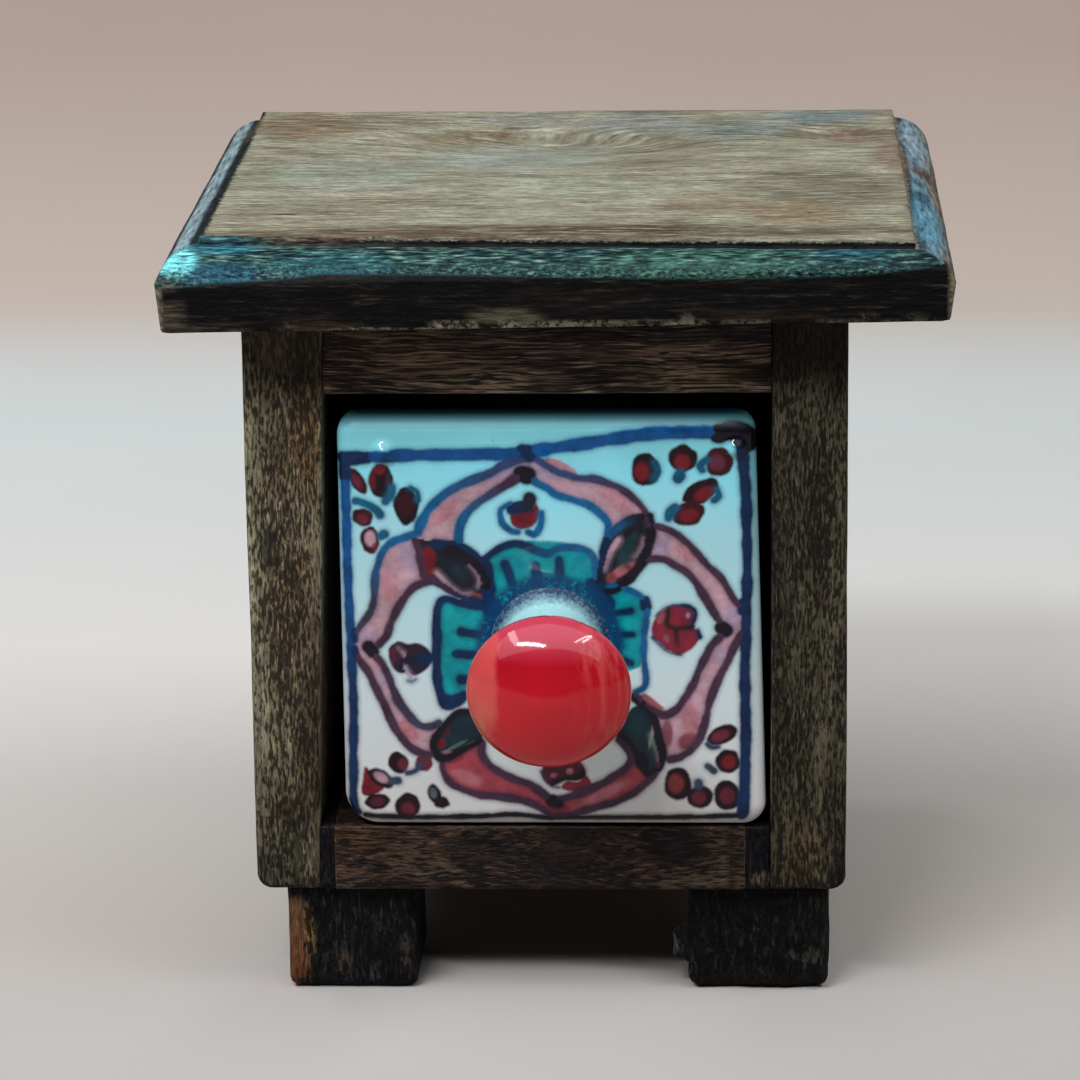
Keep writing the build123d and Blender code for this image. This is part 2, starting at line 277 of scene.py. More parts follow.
plankLook = {
    "grainAxis": "Z",
    "tones": [(0.32, "#453b2d"), (0.46, "#5f5642"), (0.58, "#726851"), (0.72, "#867c65")],
    "figure": (4.0, 18.0),
    "waver": 0.5,                     # how far the grain wanders
    "patchTone": "#4a3726",           # browner heartwood
    "streakTone": "#8f8769",          # paler fibres, worn clean
    "streaks": (0.42, 2.2),
    "streakAmount": 0.6,
    "fibreShade": (0.55, 1.5),
    "fleckTone": "#120e0a",           # open pores, filled with dark wax
    "flecks": (0.36, 1.5),
    "fleckLimit": (0.6, 0.71),
    "wearTone": "#8f8266",
    "wearAmount": 0.5,
    "roughness": 0.6,
    "shine": 0.2,
    "relief": 0.2,
}

railLook = dict(
    plankLook, grainAxis="X",
    tones=[(0.32, "#201513"), (0.46, "#382722"), (0.58, "#523d33"), (0.72, "#6e5948")],
    figure=(2.6, 22.0), waver=1.1, patchTone="#3a2428", streakTone="#a08c78",
    streaks=(0.36, 10.0), streakAmount=0.7, fleckTone="#0a0606", flecks=(0.3, 8.0),
    fleckLimit=(0.62, 0.71), wearTone="#a08c72", wearAmount=0.4, roughness=0.58)

boardLook = dict(
    railLook,
    tones=[(0.32, "#231410"), (0.46, "#3d291f"), (0.58, "#5a4031"), (0.72, "#785c47")],
    figure=(3.0, 9.0), streakTone="#97785e", streaks=(0.42, 2.6), streakAmount=0.6,
    flecks=(0.42, 2.2), wearAmount=0.25)

footLook = dict(
    plankLook,
    tones=[(0.32, "#07080a"), (0.48, "#111215"), (0.6, "#1d1e22"), (0.74, "#32322f")],
    figure=(1.6, 4.5), waver=0.6, patchTone="#17110f", streakTone="#4e4f52",
    streaks=(0.7, 3.2), fibreShade=(0.4, 1.7), fleckTone="#030405", flecks=(0.5, 1.6),
    fleckLimit=(0.61, 0.7), wearTone="#6a6052", wearAmount=0.4, roughness=0.62, shine=0.18,
    relief=0.6)

stripLook = dict(
    plankLook,
    tones=[(0.32, "#07060a"), (0.5, "#0e0b12"), (0.62, "#171318"), (0.76, "#2a211f")],
    figure=(2.0, 7.0), waver=0.4, patchTone="#120f1a", streakTone="#3a322c",
    streaks=(0.5, 3.0), streakAmount=0.35, fibreShade=(0.6, 1.4), fleckTone="#030304",
    flecks=(0.4, 1.6), fleckLimit=(0.65, 0.75), wearTone="#4d4238", wearAmount=0.4,
    roughness=0.66, shine=0.15, relief=0.25)


def finishSurface(add, tone, height, depth, strength, rough, shine, ior=1.5):
    # a tone, and a relief of that many millimetres, made a surface
    bump = add("Bump", {"Strength": strength, "Distance": depth * mm, "Height": height})
    add("OutputMaterial", add("BsdfPrincipled", {
        "Base Color": tone, "Normal": bump, "Roughness": rough, "IOR": ior,
        "Specular IOR Level": shine}))


def makeWood(name, look):
    # waxed wood: a dull sheen, dark pores, streaks along the grain and paler rubbed edges
    material, add = newMaterial(name)
    axis = look["grainAxis"]
    place = add("TexCoord", out="Object")
    dabTone = add("Attribute", out="Color", attribute_name="dabTone")
    dabAmount, shade, wear = (add("Attribute", out="Fac", attribute_name=each)
                              for each in ("dabAmount", "shade", "edgeWear"))

    # the grain wanders to its sides, and every pattern but the rubbing follows it
    drift = grainPattern(add, place, axis, 7, 18, 2.0, out=1)
    drift = add("VectorMath", drift, (0.5, 0.5, 0.5), operation="SUBTRACT")
    reach = [0 if each == axis else 2 * look["waver"] * mm for each in "XYZ"]
    grain = add("VectorMath", drift, reach, place, operation="MULTIPLY_ADD")
    figure = grainPattern(add, grain, axis, *look["figure"], 4.0, 0.6)
    patch = grainPattern(add, grain, axis, 5, 24, Location=(3, 7, 5))
    streak = grainPattern(add, grain, axis, *look["streaks"], 3.0, 0.65)
    fibre = grainPattern(add, grain, axis, 0.3, 3.2, 3.0, 0.6)
    fleck = grainPattern(add, grain, axis, *look["flecks"], 3.0, 0.55)
    rub = grainPattern(add, place, axis, 2.5, 6, 4.0)

    tone = add("ValToRGB", figure, stops=look["tones"])
    patchMask = add("MapRange", patch, 0.46, 0.62, 0.0, 0.7)
    tone = add("Mix", patchMask, tone, look["patchTone"], **over)
    tone = add("Mix", dabAmount, tone, dabTone, **over)

    # dabs hide the streaks, and strong ones the flecks too
    streakMask = add("MapRange", streak, 0.5, 0.66, 0.0, look["streakAmount"])
    bare = add("Math", dabAmount, -0.8, 1.0, operation="MULTIPLY_ADD")
    streakMask = add("Math", streakMask, bare, operation="MULTIPLY")
    tone = add("Mix", streakMask, tone, look["streakTone"], **over)
    fibreShade = add("MapRange", fibre, 0.32, 0.68, *look["fibreShade"])
    tone = add("Mix", 1.0, tone, fibreShade, **times)
    fleck = add("Math", patch, 0.3, fleck, operation="MULTIPLY_ADD")
    fleckMask = add("MapRange", fleck, *look["fleckLimit"], 0.0, 0.88)
    cover = add("MapRange", dabAmount, 0.75, 0.95, 1.0, 0.3)
    fleckMask = add("Math", fleckMask, cover, operation="MULTIPLY")
    tone = add("Mix", fleckMask, tone, look["fleckTone"], **over)
    # the shade attribute: the board's own depth of tone, with painted shade under the cap at the
    # tops of the rail and left plank
    tone = add("Mix", 1.0, tone, shade, **times)

    rubMask = add("MapRange", rub, 0.4, 0.62, 0.0, look["wearAmount"])
    rubMask = add("Math", rubMask, wear, operation="MULTIPLY", use_clamp=True)
    tone = add("Mix", rubMask, tone, look["wearTone"], **over)

    pores = add("Math", fleckMask, -0.8, fibre, operation="MULTIPLY_ADD")
    relief = add("Math", streak, 1.2, pores, operation="MULTIPLY_ADD")
    finishSurface(add, tone, relief, look["relief"], 0.8, look["roughness"], look["shine"])
    return material


def putDabs(mesh, places, dabs):
    # soft patches where the wood or its stain is another tone; a few are painted shade under the
    # cap, and one a painted highlight on the cap's moulding
    tones = np.zeros((len(places), 3))
    amounts = np.zeros(len(places))
    for place, size, hexText, strength in dabs:
        gap = np.linalg.norm((places - place) / size, axis=1)
        share = strength * (1 - smoothShare(gap, 0.5, 1.0))
        weight = (share / np.maximum(share + amounts, 1e-6))[:, None]
        tones += (np.array(linear(hexText)[:3]) - tones) * weight
        amounts = np.maximum(amounts, share)
    putAttribute(mesh, "dabTone", tones)
    putAttribute(mesh, "dabAmount", amounts)


woodwork = {
    "merge": 0.002,             # vertices closer than this are one
    "sliceSlack": 0.004,        # a vertex this near a cut counts as on it
    "evenOut": 0.5,             # faces that turn less than this, in degrees, are made one
    "edgeCuts": (0.3, 0.9),     # where a board is cut beside its edges
    "cutStep": 1.2,
    "blockStep": 0.7,           # closer, for the feet and the filler strips
    "nailReach": 1.8,           # a nail hole lies within this of its middle
    "fullEdge": 0.29,           # an edge this far from flat has the sharpness 1
    "sharp": 0.35,              # how sharp an edge is before it wears
    "rounding": 0.5,            # share by which a worn edge is smoothed
    "chipSize": 2.6,            # typical length of a chip along an edge
    "chipLimit": 0.18,
    "waveSize": 16,             # length of the hollows that a hand plane leaves
    "gritSize": 0.9,
    "grainStretch": 0.15,       # the grit is drawn out along the grain
    "edgeLoss": 0.08,
    "calmReach": 2.6,           # no wear this close to a nail
}


def workCopy(nodeName, nailHoles=()):
    # a CAD node's mesh, merged and rid of its triangles; nail holes may be filled over
    bm = bmesh.new()
    bm.from_mesh(nodes[nodeName].data)
    bmesh.ops.remove_doubles(bm, verts=bm.verts, dist=woodwork["merge"] * mm)
    if nailHoles:
        filled = [vert for vert in bm.verts
                  if any(math.hypot(vert.co.x - x * mm, vert.co.y - y * mm)
                         < woodwork["nailReach"] * mm for x, y in nailHoles)]
        bmesh.ops.delete(bm, geom=filled, context="VERTS")
        closeHoles(bm)
    bmesh.ops.dissolve_limit(bm, angle_limit=math.radians(woodwork["evenOut"]),
                             verts=bm.verts, edges=bm.edges)
    return bm


def closeHoles(bm):
    bmesh.ops.holes_fill(bm, edges=[edge for edge in bm.edges if edge.is_boundary], sides=0)


def sliceAcross(bm, axis, spots):
    # cuts the whole mesh square to an axis, at each spot
    normal = Vector([float(axis == each) for each in range(3)])
    for spot in spots:
        bmesh.ops.bisect_plane(bm, geom=bm.verts[:] + bm.edges[:] + bm.faces[:],
                               dist=woodwork["sliceSlack"] * mm, plane_co=normal * spot,
                               plane_no=normal)


def cutIntoGrid(bm, step):
    # small even faces, and closer cuts beside the edges
    near, far = (gap * mm for gap in woodwork["edgeCuts"])
    spans = [(min(vert.co[axis] for vert in bm.verts), max(vert.co[axis] for vert in bm.verts))
             for axis in range(3)]
    for axis, (low, high) in enumerate(spans):
        count = max(int((high - low - 2 * far) / (step * mm)), 1)
        inner = np.linspace(low + far, high - far, count + 1)
        sliceAcross(bm, axis, [low + near, *inner, high - near])


def edgeSharpness(bm):
    # for each vertex, 0 on flat wood up to 1 on an outward edge
    bm.normal_update()
    sharpness = np.zeros(len(bm.verts))
    for vert in bm.verts:
        least = min((face.normal.dot(vert.normal) for face in vert.link_faces), default=1)
        sharpness[vert.index] = min((1 - least) / woodwork["fullEdge"], 1)
    return sharpness


def wearBoard(bm, seed, wave, grit, chips, grainAxis, calm=()):
    # a hand-planed face: edges rubbed round and chipped here and there, faces not quite flat
    bm.verts.ensure_lookup_table()
    bm.verts.index_update()
    sharpness = edgeSharpness(bm)
    shift = Vector((seed * 7.3, seed * 3.1, seed * 5.7))
    edge = [vert for vert in bm.verts if sharpness[vert.index] > woodwork["sharp"]]
    bmesh.ops.smooth_vert(bm, verts=edge, factor=woodwork["rounding"], use_axis_x=True,
                          use_axis_y=True, use_axis_z=True)
    stretch = [woodwork["grainStretch"] if each == grainAxis else 1.0 for each in "XYZ"]
    for vert in bm.verts:
        spot = vert.co / mm + shift
        if any(math.dist(vert.co / mm, nail) < woodwork["calmReach"] for nail in calm):
            continue
        move = wave * noise.noise(spot / woodwork["waveSize"])
        along = Vector([spot[i] * stretch[i] for i in range(3)])
        move += grit * noise.noise(along / woodwork["gritSize"])
        amount = sharpness[vert.index]
        if amount > woodwork["sharp"]:
            chip = noise.noise(spot / woodwork["chipSize"]) - woodwork["chipLimit"]
            move -= amount * max(chip, 0) * chips * 2
            move -= amount * woodwork["edgeLoss"] * (1 + noise.noise(spot / 1.1))
        vert.co += vert.normal * move * mm
    return sharpness


# Case: two planks, top rail, floor board, filler strips, back panel and four feet

nailSpots = {
    "cap": [(-39.25, -20.15), (-39.25, 46.15), (35.925, -20.15), (35.925, 46.15)],
    "sides": [(x, y, z) for x in (-45.1, 41.3)
              for y, z in ((-24.85, 97.5), (-3.15, 21.2), (29.15, 21.2))],
    "back": [(x, 57.15, z) for x in (-38, 34) for z in (30, 60, 90)],
}

# kind of wood: finish, look, slot and how closely it is cut
woodKinds = {
    "plank": ("waxedMangoPlank", plankLook, "mango_wood_case", "cutStep"),
    "rail": ("stainedMangoRail", railLook, "mango_wood_rail", "cutStep"),
    "board": ("stainedMangoBoard", boardLook, "mango_wood_rail", "cutStep"),
    "strip": ("waxSoakedStrip", stripLook, "dark_filler", "blockStep"),
    "foot": ("blackStainedBlock", footLook, "stained_wood_foot", "blockStep"),
}

# CAD node: piece, kind, wave, grit, chips, then how dark the piece is at its foot, middle
# and top, its own tone with painted shade under the cap at the top of the rail and left plank;
# its place in this table is the seed of its wear
boards = {
    "side_left": ("sidePlankLeft", "plank", 0.12, 0.04, 0.6, (0.55, 1.9, 1.6)),
    "side_right": ("sidePlankRight", "plank", 0.12, 0.04, 0.6, (0.44, 0.56, 0.56)),
    "back_panel": ("backPanel", "plank", 0.15, 0.04, 0.3, (0.7, 0.8, 0.7)),
    "top_rail": ("topRail", "rail", 0.1, 0.05, 0.4, (1.9, 1.75, 1.1)),
    "floor_board": ("floorBoard", "board", 0.12, 0.05, 0.6, (0.62, 0.55, 0.55)),
    "filler_strip_left": ("fillerStripLeft", "strip", 0.1, 0.05, 0.3, (1, 1, 1)),
    "filler_strip_right": ("fillerStripRight", "strip", 0.1, 0.05, 0.3, (1.3, 1, 1)),
    "foot_front_left": ("footFrontLeft", "foot", 0.2, 0.16, 1.2, (0.75, 0.75, 0.65)),
    "foot_front_right": ("footFrontRight", "foot", 0.35, 0.3, 2.2, (0.58, 0.52, 0.55)),
    "foot_back_left": ("footBackLeft", "foot", 0.2, 0.16, 1.2, (0.5, 0.4, 0.4)),
    "foot_back_right": ("footBackRight", "foot", 0.2, 0.2, 1.4, (0.5, 0.4, 0.4)),
}

# patches on the boards: place, half size, tone and strength
boardDabs = {
    "side_left": [
        # painted shadow of the cap over the plank's top
        ((-39, -31, 100), (9, 16, 10), "#2f2018", 0.85),
        ((-36.5, -31, 84), (3.4, 9, 10), "#66492c", 0.6),
        ((-41, -31, 84), (4, 9, 9), "#3c3022", 0.5),
        ((-41.8, -31, 68.5), (2.4, 9, 4.6), "#16150f", 0.8),
        ((-45.2, -31, 58), (3.2, 12, 46), "#6c6c57", 0.5),
        ((-36.5, -31, 46), (3.4, 14, 26), "#3b2c20", 0.65),
        ((-41, -31, 22), (3.4, 8, 6), "#74745c", 0.5),
        ((-39.2, -31, 21), (0.9, 8, 6.5), "#0f0c09", 0.9),
        ((-37.3, -31, 21.5), (1.2, 8, 5.6), "#968c6e", 0.85),
        ((-34.9, -31, 22), (1.7, 8, 8), "#100c14", 0.95),
    ],
    "side_right": [
        # painted shadow of the cap over the plank's top
        ((36, -31, 100), (9, 16, 9), "#241a14", 0.85),
        ((34.5, -31, 22), (5, 9, 5.5), "#8b774f", 0.7),
        ((40.8, -31, 18), (2.4, 9, 6), "#17130e", 0.7),
        ((38.6, -31, 60), (1.6, 6, 1.2), "#4e2a24", 0.6),
        ((32, -31, 60), (2, 12, 30), "#2c251a", 0.5),
    ],
    "top_rail": [
        # painted shadow of the cap along the rail's top
        ((0, -31, 102), (60, 12, 5), "#150e0c", 0.75),
        ((-9, -31, 93.2), (13, 9, 2.2), "#8c785f", 0.6),
        ((19, -31, 93.4), (12, 9, 2.6), "#7a674e", 0.55),
        ((-28, -31, 95), (6, 9, 6), "#1a1211", 0.5),
        ((-20, -31, 97), (15, 9, 5), "#6b5244", 0.65),
    ],
    "floor_board": [
        ((-31, -31, 24.6), (5, 8, 2.6), "#7c4a20", 0.6),
        ((-20, -31, 19.5), (8, 8, 3), "#6c5844", 0.4),
        ((-12, -31, 23), (7, 8, 3), "#1a1210", 0.6),
        ((16.5, -31, 23), (5.5, 8, 3.6), "#0f0c0e", 0.85),
        ((2, -31, 25), (6, 8, 2), "#140f12", 0.6),
        ((22.4, -31, 21), (2.2, 8, 6), "#7a6446", 0.65),
        ((24.4, -31, 21), (0.8, 8, 7), "#20140e", 0.9),
        ((26.2, -31, 20), (1.6, 8, 6), "#6e583e", 0.6),
        ((17, -31, 17.6), (7, 6, 1.4), "#77705c", 0.5),
    ],
    "filler_strip_right": [((29, -31, 18), (2, 6, 1.6), "#6d5a48", 0.7)],
    "foot_front_left": [
        ((-40.4, -30, 4), (3.6, 16, 5.4), "#7c4a2c", 0.95),
        ((-40.4, -30, 9), (3.5, 16, 5.2), "#8c6240", 0.95),
        ((-40.4, -30, 12), (3.4, 16, 3.4), "#86603c", 0.95),
        ((-37.8, -30, 8), (0.9, 16, 6.6), "#ac8a54", 0.7),
        ((-33.2, -30, 4.4), (1.7, 6, 2.6), "#5d4c40", 0.8),
        ((-27.5, -30, 9), (1.2, 6, 4), "#33302c", 0.7),
        ((-23.6, -30, 6), (1.2, 6, 5), "#4a3a34", 0.7),
    ],
    "foot_front_right": [
        ((27, -30, 0.8), (12, 12, 3.4), "#2a1a15", 0.85),
        ((21, -30, 10), (6, 6, 3), "#232220", 0.6),
        ((36.6, -30, 5.6), (2.0, 6, 1.8), "#5f5947", 0.8),
        ((33.4, -30, 5.4), (1.1, 4, 0.8), "#6a5a5a", 0.8),
        ((28.3, -30, 9.6), (1.4, 4, 0.8), "#55606a", 0.7),
        ((16.0, -30, 6.6), (1.0, 8, 2.6), "#8b8b88", 0.8),
        ((18.4, -30, 3.0), (0.7, 8, 1.0), "#6d6d6c", 0.7),
        ((38, -30, 14), (2.4, 10, 4), "#28261a", 0.6),
    ],
    "foot_back_left": [((-30, 50, 1), (14, 14, 3), "#2c1f18", 0.6)],
    "foot_back_right": [((30, 50, 1), (14, 14, 3.4), "#3a2c20", 0.6)],
}

footShape = {
    "round": {"foot_front_left": 1.6, "foot_front_right": 2.0},
    "backRound": 1.4,
    "tornHeights": (3.9, 5.4, 8.8, 10.4),    # where the torn fibres start, are full and end
    "tornDepths": (-28, -25),                # they stand near the front only
    "tornReach": 2.5,
    "stepHeight": 11.6,
}


def buildCase():
    woods = {kind: makeWood(finish, look)
             for kind, (finish, look, slot, cut) in woodKinds.items()}
    calm = nailSpots["sides"] + nailSpots["back"]
    for seed, (node, (name, kind, *wear, shades)) in enumerate(boards.items(), 1):
        finish, look, slot, cut = woodKinds[kind]
        bm = workCopy(node)
        cutIntoGrid(bm, woodwork[cut])
        sharpness = wearBoard(bm, seed, *wear, look["grainAxis"], calm)
        if kind == "foot":
            roundFoot(bm, node)
        places = spotsOf(bm)
        mesh = dressNode(bm, name, woods[kind], "case", node).data
        putAttribute(mesh, "edgeWear", sharpness)
        height = places[:, 2]
        levels = np.linspace(height.min(), height.max(), len(shades))
        putAttribute(mesh, "shade", np.interp(height, levels, shades))
        putDabs(mesh, places, boardDabs.get(node, ()))
    print("case built:", len(boards), "boards")


def roundFoot(bm, node):
    # the block's lower edges are rubbed round
    low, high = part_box(node)
    middle, half = (low + high) / 2, (high - low) / 2
    radius = footShape["round"].get(node, footShape["backRound"]) * mm
    for vert in bm.verts:
        above = min(max(vert.co.z / radius, 0), 1)
        inset = radius * (1 - math.sqrt(1 - (1 - above) ** 2))
        for axis in (0, 1):
            share = (vert.co[axis] - middle[axis]) / half[axis]
            pull = smoothShare(abs(share), 0.7, 1.0)
            vert.co[axis] -= math.copysign(inset * pull, share)
        spot = vert.co / mm
        if node == "foot_front_right":
            # a rough face, and torn fibres that stand out of its inner edge
            inner = smoothShare(middle.x - vert.co.x, half.x * 0.3, half.x)
            start, full, ebb, end = footShape["tornHeights"]
            swell = smoothShare(spot.z, start, full) * (1 - smoothShare(spot.z, ebb, end))
            swell *= 1 - smoothShare(spot.y, *footShape["tornDepths"])
            crumbs = noise.noise(spot / 1.7) * (0.3 + 0.7 * swell)
            ridge = 0.5 * noise.noise(Vector((spot.x / 5 + spot.z / 2.2, spot.y / 4, 3)))
            vert.co.x -= inner * (footShape["tornReach"] * swell + crumbs) * mm
            vert.co.y -= ridge * smoothShare(middle.y - vert.co.y, 0, half.y) * mm
        if node == "foot_front_left":
            # the inner edge steps back above the chip
            inner = smoothShare(vert.co.x - middle.x, half.x * 0.6, half.x)
            step = 0.9 * smoothShare(footShape["stepHeight"] - spot.z, 0, 0.8) - 0.5
            vert.co.x += inner * step * mm


# Cap: a board with a raised field; teal wash was rubbed off the field and stayed in the
# moulding, and the front edge is stained nearly black

capLook = {
    "fieldHalf": 50.2,
    "fieldFront": (-36.55, -0.03586),   # y of the field's front edge at the middle, and its slope
    "frontFace": -42.15,
    "topHeight": 115.27,
    "underside": (103.67, 0.0128),      # height at the middle, and its slope along x
    # x and height where the wash ends and the black stain of the front starts
    "stainLine": [(-55, 109.1), (-48.8, 109.9), (-43.7, 110.2), (-38, 110.5), (-32.5, 111.2),
                  (-14, 111.1), (-2, 110.8), (12, 110.6), (28, 110.5), (37, 110.7),
                  (42.4, 110.9), (48, 111.5), (51.5, 111.9), (54, 112.6)],
    "sideStain": 110.2,
    # x along the lower front edge, and how pale it is made there: wear with a painted highlight
    "paleFoot": [(-56, 0.2), (-38, 0.25), (-30, 0.7), (-20, 1), (8, 1), (20, 0.35), (40, 0.2),
                 (56, 0.1)],
    "stippleDrop": (2.4, 3.8),          # below the top, where slanted streaks turn to stipple
    "sideBand": 5.7,
    "endSpan": (54.5, 55.3),
    "lip": 0.6,                         # where the field's step starts, above the top height
    "cutStep": 1.0,
    "wear": (21, 0.1, 0.05, 0.5),       # seed, wave, grit and chips
    "slantAngle": 14,                   # of the scraped streaks, in degrees
    # a filled nail's mark: half length at the left and at the right, half width, strength
    "nailMark": (1.9, 0.8, 0.7, 0.8),
    "fieldTones": [(0.32, "#6a6551"), (0.45, "#807c67"), (0.56, "#8e8b77"), (0.7, "#9c9985")],
    "lineTone": "#38331f",
    "lightLine": "#bab8a2",
    # painted shadow for the groove at the foot of the step
    "grooveShadeTone": "#04090b",
    "nailTone": "#1d1712",
    "washTones": [(0.34, "#03090d"), (0.45, "#0b2326"), (0.55, "#2c504d"), (0.66, "#6d8a7a"),
                  (0.76, "#9ca78f")],
    # both sides: a dark line of painted shadow at the field's edge, then a pale band that is
    # partly a painted highlight
    "leftSide": [(0.0, "#0b1417"), (0.22, "#15252a"), (0.32, "#6f8287"), (0.64, "#809396"),
                 (0.74, "#1d3a42"), (0.86, "#14262d"), (1.0, "#4a5250")],
    "rightSide": [(0.0, "#0c181d"), (0.14, "#1c2e35"), (0.26, "#56757f"), (0.6, "#667f86"),
                  (0.74, "#7c7a70"), (1.0, "#655c50")],
    "frontTones": [(0.38, "#000000"), (0.5, "#040303"), (0.56, "#0c0907"), (0.63, "#231b15"),
                   (0.74, "#4c4135")],
    "endTones": [(0.36, "#2b2620"), (0.48, "#6a6152"), (0.6, "#8d826c"), (0.7, "#a1967c")],
    # the pale lower front edge: wear, with a painted highlight along its arris
    "paleEdge": "#b3a78c",
    # patches: place, half size, tone and strength
    "dabs": [
        ((-33, 8, 115), (17, 13, 4), "#87917f", 0.6),
        ((-9, 19, 115), (18, 13, 4), "#89958a", 0.6),
        ((-2, -2, 115), (26, 9, 4), "#9aa08c", 0.5),
        ((-42, 46, 115), (12, 14, 4), "#6e5942", 0.75),
        ((-26, 48, 115), (9, 9, 4), "#7c7564", 0.6),
        ((-16, 36, 115), (13, 8, 4), "#6e5f45", 0.7),
        ((-8, 50, 115), (10, 9, 4), "#787d7c", 0.5),
        ((10, 47, 115), (13, 12, 4), "#7a8280", 0.6),
        ((25, 42, 115), (12, 12, 4), "#6c7a78", 0.55),
        ((38.6, 52, 115), (10, 9, 4), "#5b767c", 0.6),
        ((45, 36, 115), (9, 7, 4), "#6e5646", 0.7),
        ((49, 20, 115), (4, 16, 4), "#73594a", 0.6),
        ((34.5, -20, 115), (10, 10, 4), "#84694a", 0.65),
        ((22, -14, 115), (9, 10, 4), "#8a7a62", 0.5),
        ((0, -32.6, 115), (60, 6.4, 3), "#4e402f", 0.85),
        ((-30, -33, 115), (20, 4.4, 3), "#5f4c3b", 0.85),
        ((38, -4, 115), (14, 22, 4), "#625d4c", 0.65),
        ((1, 27, 115), (11, 6, 4), "#76776a", 0.6),
        # moulding
        # a painted highlight: pale cyan at the moulding's left front corner
        ((-53, -39, 112.6), (4, 5, 2.6), "#7fdfe2", 0.9),
        ((-47, -41, 111.2), (8, 4.5, 1.7), "#164c62", 0.7),
        ((-31, -39.5, 112), (12, 5, 2.2), "#1d5c66", 0.4),
        ((-47, -36, 114), (8, 3.4, 2), "#2f7484", 0.6),
        ((20, -40, 112), (20, 5, 3), "#3a6252", 0.5),
        ((42, -39, 113), (9, 3, 2), "#1c4c5c", 0.6),
        ((52.6, -18, 112), (4, 24, 5), "#4f8496", 0.7),
        ((53.6, 17, 112), (3, 7, 5), "#54392c", 0.75),
        ((52.4, -3, 112.5), (2.4, 6, 4), "#0d2436", 0.9),
        ((53, 42, 112), (4, 20, 5), "#7d929a", 0.8),
        # front face
        ((-54.2, -42, 105), (3.4, 5, 7), "#4e4638", 0.85),
        ((-47, -42, 103.4), (6, 4, 1.3), "#4a4436", 0.6),
        ((-7, -42, 105.2), (7, 4, 1.4), "#5c5642", 0.8),
        ((-33, -42, 104), (8, 4, 1.4), "#3d2f22", 0.6),
        ((3, -42, 108), (14, 4, 3), "#1c120e", 0.6),
        ((28, -42, 105.2), (14, 4, 1.4), "#2b2117", 0.6),
    ],
    # grain rings: middle of a swirl, half length, half width and how far they push lines over
    "swirls": [((1, 26), (20, 11), 12.5), ((-12, 34), (22, 16), 7.0), ((44, 34), (14, 9), 8.0)],
}


